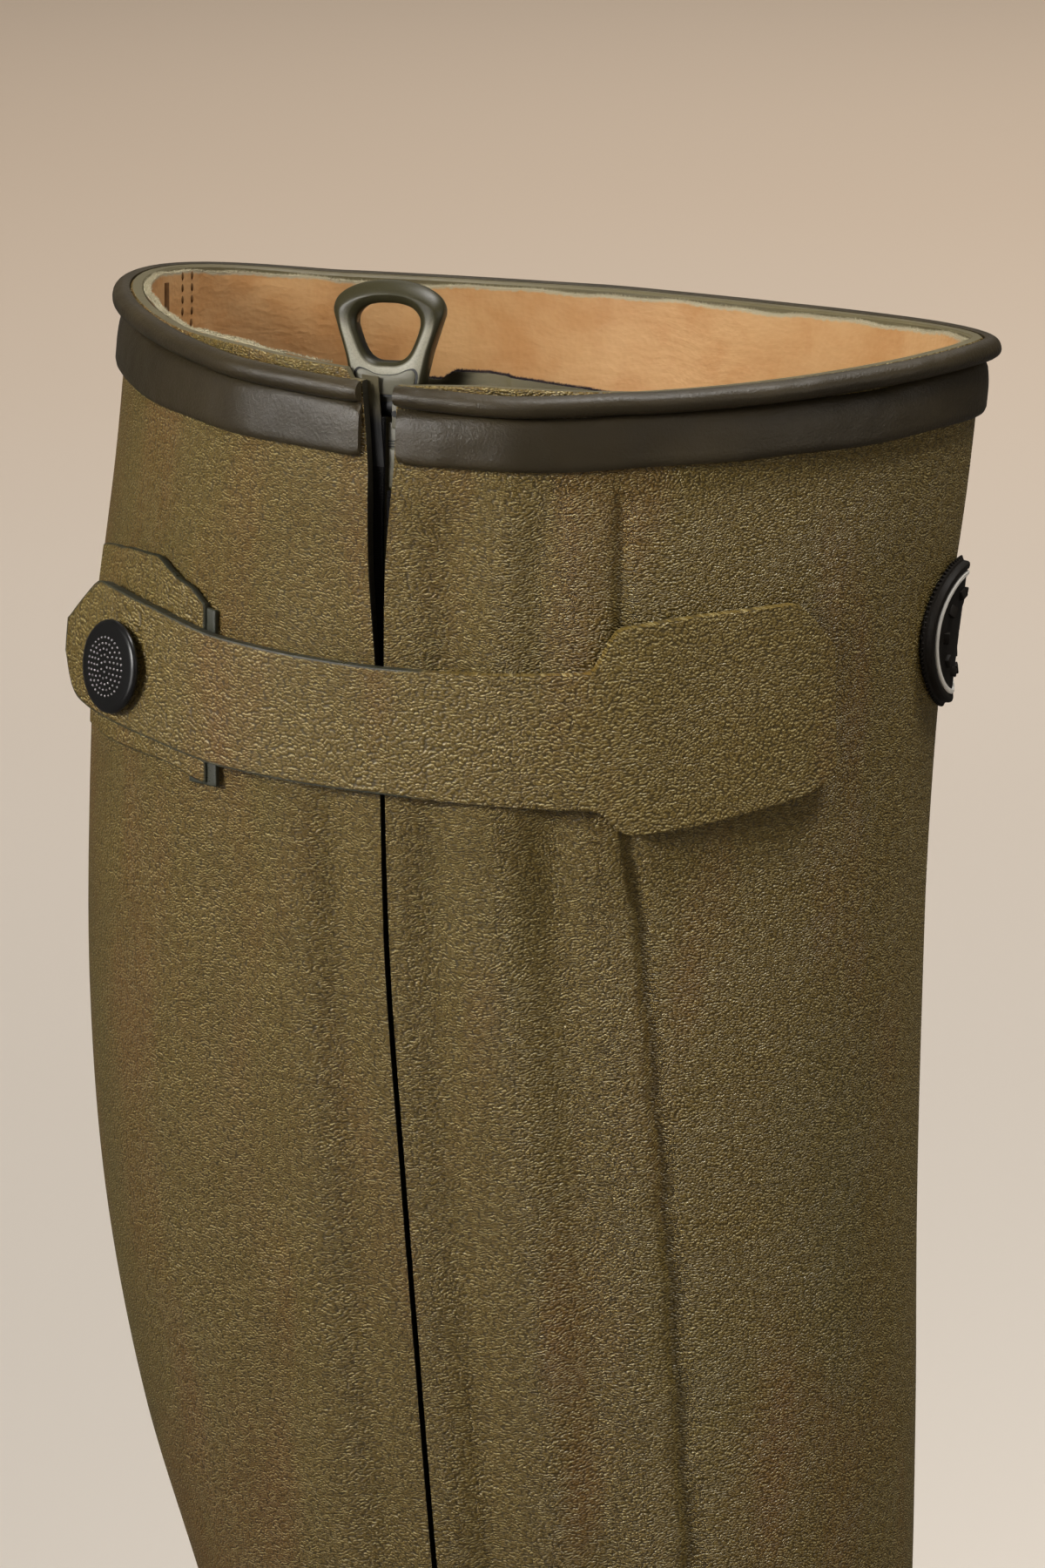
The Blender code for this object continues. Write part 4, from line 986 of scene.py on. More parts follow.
def sole_rubber(colours):
    """Moulded outsole rubber, matt, with scuffs on what meets the floor."""
    finish = Finish("sole_rubber", specular=.4)
    places = finish.object_places()
    height = finish.node("ShaderNodeSeparateXYZ", None, {0: places}, 2)
    cloud = finish.noise(places, .06, 4.0)
    scuff = (1 - finish.ramp(height, .2, 3.0)) * finish.ramp(finish.noise(places, .5, 3.0), .45, .7)
    colour = finish.mix(cloud, opaque(colours.sole, .8), opaque(colours.sole, 1.15))
    colour = finish.mix(scuff * .5, colour, opaque(colours.sole, 1.8))
    bump = finish.bump(finish.noise(places, 2.2, 2.0), .06 * MM)
    return finish.varies(base_color=colour, roughness=.5 + cloud * .2 + scuff * .15, normal=bump)


def footbed_leather(colours):
    """Plain leather of the footbed, mottled as the lining is."""
    finish = Finish("footbed", specular=.3)
    places = finish.object_places()
    mottle = finish.noise(finish.warped(places, .05, 8.0), .08, 4.0)
    colour = finish.mix(mottle, opaque(colours.leather_dark), opaque(colours.leather))
    bump = finish.bump(finish.cells(places, 1.0), .06 * MM)
    return finish.varies(base_color=colour, roughness=.6 + mottle * .15, normal=bump)


# Recipes for what repeats

def along_lines(recipe, pitch):
    """Points at that pitch along the lines, with their tangents."""
    curve = recipe.node("GeometryNodeMeshToCurve", None, {"Mesh": recipe.start()})
    points = recipe.node("GeometryNodeCurveToPoints", {"mode": "LENGTH"}, {"Curve": curve, "Length": pitch})
    return points, Value(recipe, points.socket.node.outputs["Tangent"])


def fuzz(name, lines, length, pitch, material, lean):
    """Fibres that stand up from cut edges, each turned and scaled at random."""
    obj = polyline(name, lines)
    recipe = Recipe(name)
    points, _ = along_lines(recipe, recipe.size("Pitch", pitch))
    tall = recipe.size("Length", length)
    fibre = recipe.node(
        "GeometryNodeMeshCone", None,
        {"Vertices": 3, "Radius Top": 0.0, "Radius Bottom": .055 * MM, "Depth": tall})
    turn = recipe.node(
        "FunctionNodeRandomValue", {"data_type": "FLOAT_VECTOR"},
        {0: (-lean, -lean, 0), 1: (lean, lean, 2 * math.pi), "Seed": 3})
    scale = recipe.node("FunctionNodeRandomValue", {"data_type": "FLOAT"}, {2: .35, 3: 1.25, "Seed": 5}, 1)
    planted = recipe.node(
        "GeometryNodeInstanceOnPoints", None,
        {"Points": points, "Instance": fibre, "Rotation": turn, "Scale": scale})
    return recipe.finished(obj, planted, material)


def repeated(name, lines, pitch, size, material, round_form=True):
    """Small stitches or teeth laid along lines, their long side on the line."""
    obj = polyline(name, lines)
    recipe = Recipe(name)
    points, tangent = along_lines(recipe, recipe.size("Pitch", pitch))
    if round_form:
        form = recipe.node("GeometryNodeMeshUVSphere", None, {"Segments": 8, "Rings": 5, "Radius": .5})
    else:
        form = recipe.node("GeometryNodeMeshCube", None, {"Size": (1, 1, 1)})
    turn = recipe.node("FunctionNodeAlignRotationToVector", {"axis": "Z"}, {"Vector": tangent})
    scale = recipe.size("Size", size, "NodeSocketVector")
    laid = recipe.node(
        "GeometryNodeInstanceOnPoints", None,
        {"Points": points, "Instance": form, "Rotation": turn, "Scale": scale})
    return recipe.finished(obj, laid, material)


# Pieces

def fine_rows():
    """Travels of the upper's rows: close on the shaft, wider at the ankle and the foot."""
    shaft = np.concatenate([[0, RIM_ROUND], np.arange(1.2, ANKLE, 1.6)])
    ankle = np.arange(ANKLE, ZIP_END, 3.2)
    foot = np.linspace(ZIP_END, FEATHER, 46)
    return np.concatenate([shaft, ankle, foot])


def fine_columns(travel):
    """Arcs of the upper's columns from the zip's front edge right round to its rear edge.

    The back line has two columns, so that the arcs behind the zip are negative.
    """
    length, shin, heel = (float(WALL.along(travel, name)) for name in ("length", "front", "back"))
    foot = float(ease(between(travel, (ZIP_END - 20, ZIP_END + 60))))
    slit = zip_at(travel)[1] / 2 if travel < ZIP_END else 0
    close, wide, end = FLAP_COLUMNS
    flap = np.concatenate([np.arange(0, close, 1.0), np.arange(close, wide, .4), np.arange(wide, end, 1.2)])
    front = np.concatenate([flap, np.linspace(end, shin, 28)])
    front = (1 - foot) * front + foot * shin * np.linspace(0, 1, len(front))
    inner = np.linspace(shin, length + heel, 46)[1:]
    rear = np.concatenate([np.linspace(heel, REAR_COLUMNS - 1, 20), np.arange(REAR_COLUMNS, .5, 1.0)])
    rear = (1 - foot) * rear + foot * heel * np.linspace(1, 0, len(rear))
    front[0] += slit
    rear[-1] -= slit
    room = COLUMN_ROOM
    keep_front, keep_rear = front[1:] > front[0] + room, rear[:-1] < rear[-1] - room
    front[1:] = np.where(keep_front, front[1:], front[0] + room * np.arange(1, len(front)))
    rear[:-1] = np.where(keep_rear, rear[:-1], rear[-1] - room * np.arange(len(rear) - 1, 0, -1))
    return np.concatenate([front, inner, rear])


def rim_travel(travel, arc):
    """Travel of the wall's top rows, which rise above the bead beside the zip."""
    return travel - from_table(wrapped(0, arc), RIM_RISES) * np.clip(1 - travel / RIM_RUN_OUT, 0, 1)


def make_upper(sizes, outer, inner, cut):
    """The hollow shell: its columns meet along the zip line below the slit and stay apart in it."""
    travels = fine_rows()
    arcs = np.stack([fine_columns(travel) for travel in travels])
    rows, columns = arcs.shape
    travel = rim_travel(np.broadcast_to(travels[:, None], arcs.shape), arcs)
    creases = crease_height(travel, arcs)
    lip = lip_height(travel, arcs)
    turned = np.where(travels == 0, RIM_ROUND, 0)[:, None]
    outside = WALL.lifted(travel, arcs, creases + flap_height(travel, arcs) + lip - turned)
    inside = WALL.lifted(travel, arcs, creases + lip + turned - sizes.wall / MM)
    count = rows * columns
    index = np.arange(count).reshape(rows, columns)
    seam = int(np.argmin(np.diff(arcs[0])))
    quads = grid_faces(rows, columns).reshape(rows - 1, columns - 1, 4)
    quads = np.delete(quads, seam, axis=1).reshape(-1, 4)
    faces = [*quads, *(quads[:, ::-1] + count)]
    finish = [0] * len(quads) + [1] * len(quads)

    def close_edge(a, b):
        faces.append([a, b, count + b, count + a])

    for k in range(columns - 1):
        if k != seam:
            close_edge(index[0, k], index[0, k + 1])
            close_edge(index[-1, k + 1], index[-1, k])
    finish += [1] * (len(faces) - len(finish))
    # the slit's cut faces take the third material, a painted shade
    for i in range(int(np.searchsorted(travels, ZIP_END))):
        close_edge(index[i + 1, 0], index[i, 0])
        close_edge(index[i, -1], index[i + 1, -1])
    finish += [2] * (len(faces) - len(finish))
    places = np.tile(np.stack([arcs, travel], axis=-1).reshape(-1, 2), (2, 1))
    points = np.concatenate([outside.reshape(-1, 3), inside.reshape(-1, 3)])
    return surface("upper_skin", points, faces, [outer, inner, cut], places, finish=finish)


def lining_arcs(travel, columns):
    """The lining runs from the gusset's front edge round to its rear edge, and closes below the zip."""
    closes = float(ease(between(travel, (ZIP_END - LINING_CLOSES, ZIP_END + LINING_CLOSES))))
    start = (GUSSET_EDGES[1] + 1) * (1 - closes) + .2
    end = (GUSSET_EDGES[0] - 1) * (1 - closes) - .2
    return np.linspace(start, float(WALL.along(travel, "length")) + end, columns)


def lining_edge(arc, drop):
    """Travel of the lining's cut edge, which wavers a little and rises with the near rim."""
    near = wrapped(0, arc)
    rise = LINING_FOLLOWS * from_table(near, RIM_RISES) + from_table(near, LINING_RISES)
    return drop - rise + waves(arc, LINING_WAVES)


def make_lining(sizes, material):
    """The leather sheet inside the wall, from its wavering edge at the collar down to the sole."""
    end = FEATHER - LINING_END
    travels = np.concatenate([np.linspace(0, .9, 4), np.linspace(2.5, end, 116)])
    drop = sizes.lining_drop / MM
    grid_arcs = np.stack([lining_arcs(drop + travel, 160) for travel in travels])
    grid = np.broadcast_to(travels[:, None], grid_arcs.shape)
    edge = lining_edge(grid_arcs, drop)
    travel = edge + grid * (end - edge) / end
    creases = crease_height(travel, grid_arcs)
    outside = -sizes.wall / MM - .05
    top = WALL.lifted(travel, grid_arcs, creases + outside)
    under = WALL.lifted(travel, grid_arcs, creases + outside - sizes.lining / MM)
    places = np.stack([grid_arcs, drop + grid], axis=-1)
    return sheet("lining", top, under, places, material)


def lining_lines(sizes):
    """Lines along the lining's cut edge, across its thickness."""
    drop = sizes.lining_drop / MM
    arcs = lining_arcs(drop, 400)
    lifts = -sizes.wall / MM - np.linspace(.15, sizes.lining / MM, 4)
    lines = [WALL.lifted(lining_edge(arcs, drop) + .1, arcs, lift) for lift in lifts]
    arcs = np.linspace(FACING_ARCS[0], FUZZ_END, 60)
    return lines + [WALL.lifted(lining_edge(arcs, drop), arcs, lift) for lift in lifts[0] - (0, .1)]


def inner_arcs(travel, x):
    """Arcs on the inner side where the wall passes a place along the boot, kept upright at the collar."""
    levels = (SEAM_TRAVELS[0], SEAM_UPRIGHT)
    past = [ring.inner_arc(x) - ring.length - ring.back for ring in map(Ring, levels)]
    return WALL.along(travel, "back") + np.interp(travel, levels, past)


def seam_lines(places, lift):
    """Lines down the inside of the boot."""
    travel = np.linspace(*SEAM_TRAVELS, 160)
    return [WALL.lifted(travel, inner_arcs(travel, x), lift) for x in places]


def make_welt(sizes, material):
    """The dark raised welt where the lining's two edges meet at the back."""
    base = -(sizes.wall + sizes.lining) / MM
    travel = np.linspace(SEAM_TRAVELS[0] + .4, SEAM_TRAVELS[1], 150)[:, None]
    across = np.linspace(-1, 1, 7)
    arcs = inner_arcs(travel, WELT_X) + .75 * across
    crown = base - .05 - .55 * np.sqrt(np.clip(1 - across**2, 0, 1))
    top = WALL.lifted(travel, arcs, base - .02)
    under = WALL.lifted(travel, arcs, np.broadcast_to(crown, arcs.shape))
    travel = np.broadcast_to(travel, arcs.shape)
    return sheet("lining_welt", top, under, np.stack([arcs, travel], axis=-1), material)


def collar_arcs(step=1.5):
    """Arcs round the collar, from the slit's front edge to its rear edge."""
    slit = zip_at(0)[1] / 2
    length = float(WALL.along(0, "length"))
    return np.linspace(slit, length - slit, int(length / step))


def swept(name, profile, arcs, waver, material):
    """A closed profile of (travel, lift) points swept round the collar, with soft round ends."""
    profile = np.array(profile, float)
    middle = profile.mean(axis=0)
    end_room = np.minimum(arcs - arcs[0], arcs[-1] - arcs)
    round_off = np.sqrt(1 - np.clip(1 - end_room / .9, 0, .92) ** 2)
    grid = middle + (profile[None] - middle) * (.72 + .28 * round_off)[:, None, None]
    grid[:, 0], grid[:, -1] = profile[0], profile[-1]
    travel, lift = grid[..., 0], grid[..., 1]
    drop, rise = waver(arcs)
    lifted = np.maximum(lift, GAP / 2) / profile[:, 1].max()
    points = WALL.lifted(travel + drop[:, None], arcs[:, None], lift + rise[:, None] * lifted)
    count = len(profile)
    faces = [*grid_faces(len(arcs), count, closed=True, flip=True)]
    faces.append(list(range(count - 1, -1, -1)))
    faces.append([(len(arcs) - 1) * count + k for k in range(count)])
    places = np.stack(np.broadcast_arrays(arcs[:, None], travel + lift), axis=-1).reshape(-1, 2)
    return surface(name, points.reshape(-1, 3), faces, material, places, sharp=50)


def bead_waver(arcs):
    """How far the bead sags, and how far it stands out, round the collar."""
    near = wrapped(0, arcs)
    drop = .25 * hump(near, 20, 9) - .15 * hump(near, 38, 4)
    rise = .18 * np.sin(near / 8.5) * hump(near, 0, 60) + .1 * np.sin(near / 3.7 + 2)
    return drop, rise


def band_waver(arcs):
    """How far the band sags, and how far it stands out, round the collar and over the flap's step."""
    near = wrapped(0, arcs)
    rise = .3 * np.sin(near / 9 + .5) * hump(near, 0, 70) + .35 * hump(near, 38.5, 2.2)
    return waves(near, BAND_WAVES), rise


def make_bead(material):
    """The rolled edge: flat against the wall and round outside."""
    top, bottom = BEAD_DROPS
    middle, half = (top + bottom) / 2, (bottom - top) / 2
    profile = [(top + .3, GAP / 2)]
    for turn in np.linspace(math.radians(12), math.radians(168), 13):
        profile.append((middle - half * math.cos(turn), .6 + (GAP + BEAD_THICK - .6) * math.sin(turn)))
    profile.append((bottom - .3, GAP / 2))
    return swept("collar_bead_skin", profile, collar_arcs(), bead_waver, material)


def make_band(material):
    """The flat binding below the bead, thin and a little pillowed."""
    top, bottom = BAND_DROPS
    outside = GAP + BAND_THICK
    profile = [(top - .2, GAP / 2), (top, outside - .95), (top + .3, outside - .65)]
    for travel in np.linspace(top + .9, bottom - 1, 9):
        profile.append((travel, outside + .15 - .7 * max(0, 1 - between(travel, (top, bottom)) / .6) ** 2))
    profile += [(bottom - .35, outside - .05), (bottom, outside - .35), (bottom, GAP / 2)]
    return swept("collar_band_skin", profile, collar_arcs(), band_waver, material)


def softened(table, column, arcs, reach):
    """A column of a strap's table at each arc, with its corners rounded over that reach."""
    rows = np.array(table, float)
    offsets = np.linspace(-reach, reach, 7)
    return np.mean([np.interp(arcs + offset, rows[:, 0], rows[:, column]) for offset in offsets], axis=0)


def strip(name, table, thick, material, edge_round, reach=.9, edge_waves=(), plain_from=None, cut=0.0):
    """A strap or patch round the shaft, with rounded cut edges, which are plain from that arc on.

    cut is 1 for a strip that shows cut rubber all over.
    """
    inset = STRIP_INSET
    start, end = table[0][0], table[-1][0]
    arcs = np.concatenate([[start], np.arange(start + inset, end - inset, .9), [end - inset, end]])
    top, bottom, lift = (softened(table, k, arcs, reach)[None, :] for k in (1, 2, 3))
    top = top + waves(arcs, edge_waves)
    share = np.concatenate([[0], np.linspace(0, 1, 23), [1]])[:, None]
    travel = top + (bottom - top) * share
    travel[1] += inset
    travel[-2] -= inset
    travel = np.clip(travel, top, bottom)
    arc = np.broadcast_to(arcs[None, :], travel.shape)
    lift = np.broadcast_to(lift, travel.shape)
    rim = np.full(travel.shape, cut)
    rim[0], rim[-1], rim[:, 0], rim[:, -1] = 1, 1, 1, 1
    if plain_from is not None:
        rim *= 1 - ease(between(arcs, plain_from))
    upper_side = WALL.lifted(travel, arc, lift + thick)
    under_side = WALL.lifted(travel, arc, lift)
    obj = sheet(name, upper_side, under_side, np.stack([arc, travel], axis=-1), material, rim)
    return bevelled(obj, edge_round)


def disc_frame(travel, arc, lift):
    """Centre, across, up and outward directions of a flat disc that lies on the wall."""
    centre = WALL.lifted([travel], [arc], [lift])[0]
    normal = WALL.normals(np.array([travel]), np.array([arc]))[0]
    across = np.cross([0, 0, 1], normal)
    across /= np.linalg.norm(across)
    return centre, across, np.cross(normal, across), normal


def snap_height(radius):
    """Height of the cap's low dome."""
    return SNAP_CROWN - SNAP_FALL * (radius / (SNAP_RADIUS - SNAP_RIM)) ** 2


def make_snap(material):
    """The snap's cap: a low dome with a rounded rim, square to the strap."""
    arc, travel = SNAP_AT
    lift = float(softened(STRAP, 3, np.array([arc]), 1)[0]) + STRAP_THICK + GAP
    centre, across, upright, normal = disc_frame(travel, arc, lift)

    def place(radius, angles, height):
        spread = np.cos(angles)[:, None] * across + np.sin(angles)[:, None] * upright
        return centre + radius * spread + height * normal

    r = SNAP_RADIUS
    profile = [(0, 0), (r - .9, 0), (r - .3, .3), (r, .8), (r - .05, 1.1), (r - .3, 1.4), (r - .7, 1.56)]
    profile += [(radius, snap_height(radius)) for radius in np.linspace(r - SNAP_RIM, 0, 9)]
    cap = lathe("snap_cap_skin", profile, place, material)
    return cap, place


def make_snap_dots(place, material):
    """A grid of raised dots in the middle of the cap."""
    lines = []
    for radius in np.arange(*SNAP_DOT_RINGS):
        angles = np.linspace(0, 2 * math.pi, max(7, int(radius * 7)))
        lines.append(place(radius, angles, snap_height(radius)))
    return repeated("snap_dots", lines, SNAP_DOT_PITCH * MM, [SNAP_DOT * MM] * 3, material)


def badge_place(radius, angles, height):
    """Points of a ring about the badge's middle, which follow the shin."""
    past_front, travel = BADGE_AT
    start = float(WALL.along(travel, "front")) + past_front
    return WALL.lifted(travel - radius * np.sin(angles), start + radius * np.cos(angles), height)


def make_badge(material):
    """A round badge that lies on the shin: a stepped rim and a flat face."""
    r = BADGE_RADIUS
    profile = [(0, .1), (r * .5, .1), (r - .3, .1), (r, .4), (r, 1.0), (r - .35, 1.2), (r - .4, BADGE_FACE)]
    profile += [(r - .6, 2.2), (r - 1.0, 2.3), (r - 1.5, 2.25), (r - 1.8, 2.0), (r - 2.1, BADGE_FACE)]
    profile += [(radius, BADGE_FACE + .2 * (1 - (radius / r) ** 2)) for radius in np.linspace(r - 3, 0, 9)]
    return lathe("badge_skin", profile, badge_place, material, 96)


def make_badge_ring(material):
    """The thin pale ring inside the badge's rim."""
    r = BADGE_RADIUS - BADGE_RING_INSET
    profile = [(r - .42, 1.8), (r + .42, 1.8), (r + .42, 2.2)]
    profile += [(r + .25, 2.35), (r - .25, 2.35), (r - .42, 2.2), (r - .42, 1.8)]
    angles = np.linspace(0, 2 * math.pi, 96, endpoint=False)
    points = np.concatenate([badge_place(radius, angles, height) for radius, height in profile])
    faces = grid_faces(len(profile), len(angles), closed=True, flip=True)
    return surface("badge_ring", points, faces, material)


def circle_line(radius, height, count=180):
    return badge_place(radius, np.linspace(0, 2 * math.pi, count), height)


def gusset_lift(travel, arc):
    """How far the gusset's outer side lies inside the wall: flat at both edges, bulged behind the slit."""
    fade = 1 - (1 - GUSSET_LEFT) * ease(between(travel, GUSSET_FADE))
    bulge = GUSSET_BULGE * fade * from_table(arc, GUSSET_SHAPE)
    tape = np.interp(np.abs(arc), (TAPE_WIDTH + 1.0, TAPE_WIDTH + 3.5), (2 * GAP + TAPE_THICK + .2, GAP))
    return crease_height(travel, arc) - np.maximum(tape, GAP + bulge)


def gusset_grid(sizes, travels, columns=70):
    """Travel, arc and lift of the gusset's outer side; its top edge rises in front of the slit."""
    travel, arc = np.meshgrid(travels, np.linspace(*GUSSET_EDGES, columns), indexing="ij")
    near_top = np.clip(1 - (travel - GUSSET_TOP) / RIM_RUN_OUT, 0, 1)
    risen = travel - from_table(arc, GUSSET_RISES) * near_top
    return risen, arc, gusset_lift(travel, arc) - sizes.wall / MM


def make_gusset(sizes, material):
    """The folded sheet behind the zip."""
    below = np.linspace(GUSSET_TOP + 1.5, ZIP_END - 4, 90)
    travels = np.concatenate([[GUSSET_TOP, GUSSET_TOP + .5], below])
    travel, arc, lift = gusset_grid(sizes, travels)
    top = WALL.lifted(travel, arc, lift)
    under = WALL.lifted(travel, arc, lift - GUSSET_THICK)
    return sheet("zip_gusset_skin", top, under, np.stack([arc, travel], axis=-1), material)


def gusset_lines(sizes):
    """Lines along the gusset's top edge, across its thickness."""
    travel, arc, lift = gusset_grid(sizes, np.array([GUSSET_TOP]), 300)
    depths = np.linspace(.1, GUSSET_THICK - .1, 5)
    return [WALL.lifted(travel[0], arc[0], lift[0] - depth) for depth in depths]


def teeth_lines(sizes):
    """The inner edges of both tapes."""
    lines = []
    for side in (1, -1):
        travel = np.linspace(TEETH_START, ZIP_END - 6, 240)
        arc = np.full_like(travel, side * TEETH_ARC)
        lift = crease_height(travel, arc) - sizes.wall / MM - GAP - TAPE_THICK / 2
        lines.append(WALL.lifted(travel, arc, lift))
    return lines


def make_seal(material):
    """The round seal along the zip's front edge, tapered at its lower end."""
    travel = np.linspace(*SEAL_TRAVELS, 40)
    turns = np.linspace(0, 2 * math.pi, 14, endpoint=False)
    taper = np.minimum(travel - travel[0] + .05, (travel[-1] - travel) / SEAL_TAPER + .01)
    radius = SEAL_RADIUS * np.sqrt(np.clip(taper, 0, 1))
    middle = zip_at_rows(travel)[:, 1] / 2 + .2
    arcs = middle[:, None] + radius[:, None] * np.cos(turns)
    lift = SEAL_LIFT + radius[:, None] * np.sin(turns)
    points = WALL.lifted(travel[:, None], arcs, crease_height(travel[:, None], arcs) + lift)
    faces = [*grid_faces(len(travel), len(turns), closed=True)]
    last = (len(travel) - 1) * len(turns)
    faces += [list(range(len(turns))), [last + k for k in reversed(range(len(turns)))]]
    return surface("zip_seal", points.reshape(-1, 3), faces, material, outward=True)


def make_facing(material):
    """The strip of the lining's facing that shows in the slit's upper end."""
    travel = np.linspace(*FACING_TRAVELS, 16)[:, None]
    slit = zip_at_rows(travel[:, 0])[:, 1:] / 2
    arcs = -slit - 1.0 + (FACING_SHOWS + 1.0) * np.linspace(0, 1, 6)
    creases = crease_height(travel, arcs) + lip_height(travel, arcs)
    top = WALL.lifted(travel, arcs, creases + FACING_LIFT)
    under = WALL.lifted(travel, arcs, creases + FACING_LIFT - FACING_THICK)
    places = np.stack(np.broadcast_arrays(arcs, travel), axis=-1)
    return sheet("zip_facing", top, under, places, material)


def slider_frame():
    """Place of the zip's slider: X forwards along the collar, Y into the boot, Z up; origin on its pin."""
    joint = frame["joints"][0]
    forward = -Vector(joint["axis"])
    inward = Vector((0, 0, 1)).cross(forward)
    place = Matrix((forward, inward, Vector((0, 0, 1)))).transposed().to_4x4()
    place.translation = Vector(joint["pos_m"]) / MM
    return place


class Shape:
    """Points and faces of several closed forms, gathered in one frame."""

    def __init__(self):
        self.points, self.faces = [], []

    def add(self, points, faces):
        start = len(self.points)
        self.points += [tuple(p) for p in points]
        self.faces += [[start + int(k) for k in face] for face in faces]

    def prism(self, outline, start, end):
        """An outline of (x, z) points carried from y = start to y = end."""
        count = len(outline)
        points = [(x, y, z) for y in (start, end) for x, z in outline]
        sides = [[k, count + k, count + (k + 1) % count, (k + 1) % count] for k in range(count)]
        self.add(points, [list(range(count)), [count + k for k in range(count - 1, -1, -1)], *sides])

    def box(self, low, high):
        corners = [(low[0], low[2]), (high[0], low[2]), (high[0], high[2]), (low[0], high[2])]
        self.prism(corners, low[1], high[1])

    def bar(self, radius, start, end, sides=28):
        """A round bar along X, on the pin's axis."""
        angles = np.linspace(0, 2 * math.pi, sides, endpoint=False)
        points = [(x, radius * math.cos(a), radius * math.sin(a)) for x in (start, end) for a in angles]
        faces = [[k, (k + 1) % sides, sides + (k + 1) % sides, sides + k] for k in range(sides)]
        self.add(points, [*faces, range(sides - 1, -1, -1), range(sides, 2 * sides)])

    def made(self, name, place, material, rim=None):
        points = [place @ Vector(p) for p in self.points]
        return surface(name, points, self.faces, material, rim=rim, outward=True)


def make_slider(material):
    """The slider's stem behind the front edge of the slit, with the ear and pin that hold the pull."""
    left, right = SLIDER_SIDES
    thick = SLIDER_HALF_THICK
    ear = KNUCKLE_HALF + GAP
    form = Shape()
    form.box((left, -thick, SLIDER_ENDS[0]), (right, thick, SLIDER_ENDS[1]))
    form.box((ear + .2, .2 - thick, SLIDER_ENDS[1] - 1), (right - .4, thick - .2, .1))
    form.bar(thick, ear, right - .2)
    form.bar(.8, -ear - .3, ear + 1)
    form.bar(1.4, -ear - .7, -ear)
    form.box((1.0, -thick - .3, SLIDER_ENDS[1] - 1), (2.5, .02 - thick, .6))
    form.box((left + .1, -thick - .35, SLIDER_ENDS[0] + .2), (left + 2.1, thick, -6.7))
    return bevelled(form.made("zip_slider_skin", slider_frame(), material), .25 * MM, 2)


def make_slider_marks(material):
    """A rivet's ring and three grooves on the slider's stem."""
    form = Shape()
    face = -SLIDER_HALF_THICK
    ring = np.linspace(0, 2 * math.pi, 20, endpoint=False)
    form.prism([(1.5 + .55 * math.cos(a), -1.0 + .55 * math.sin(a)) for a in ring], face - .36, face)
    for height in (-5.4, -5.85, -6.3):
        form.box((SLIDER_SIDES[0] - .05, face - .08, height - .11), (2.6, face + .1, height + .11))
    return form.made("zip_slider_marks", slider_frame(), material)


def mirrored(half):
    """A closed outline from its right half, which starts and ends on the middle line."""
    return [*half, *[(-x, z) for x, z in half[-2:0:-1]]]


def rounded(outline, count):
    """A smooth closed line through the outline's points."""
    points = np.array(outline, float)
    before, after = np.roll(points, 1, axis=0), np.roll(points, -1, axis=0)
    slope = (after - before) / 2
    t = np.linspace(0, 1, count, endpoint=False)[:, None, None]
    line = (
        (2 * t**3 - 3 * t**2 + 1) * points + (t**3 - 2 * t**2 + t) * slope
        + (3 * t**2 - 2 * t**3) * after + (t**3 - t**2) * np.roll(slope, -1, axis=0)
    )
    return line.transpose(1, 0, 2).reshape(-1, 2)


def seen_from_heart(outline, count):
    """The rounded outline at even turns about the pull's heart, with its outward directions."""
    line = rounded(outline, 12) - PULL_HEART
    turn = np.unwrap(np.arctan2(line[:, 1], line[:, 0]))
    radius = np.hypot(line[:, 0], line[:, 1])
    order = np.argsort(np.mod(turn, 2 * math.pi))
    even = np.linspace(0, 2 * math.pi, count, endpoint=False)
    reach = np.interp(even, np.mod(turn, 2 * math.pi)[order], radius[order], period=2 * math.pi)
    points = np.stack([reach * np.cos(even), reach * np.sin(even)], axis=-1) + PULL_HEART
    along = np.roll(points, -1, axis=0) - np.roll(points, 1, axis=0)
    out = np.stack([along[:, 1], -along[:, 0]], axis=-1)
    return points, out / np.linalg.norm(out, axis=-1, keepdims=True)


def rounding(line, radii, heights):
    """Radius of an edge along a line: the first below those heights, the second above them."""
    low, high = radii
    return (low + (high - low) * ease(between(line[:, 1], heights)))[:, None]


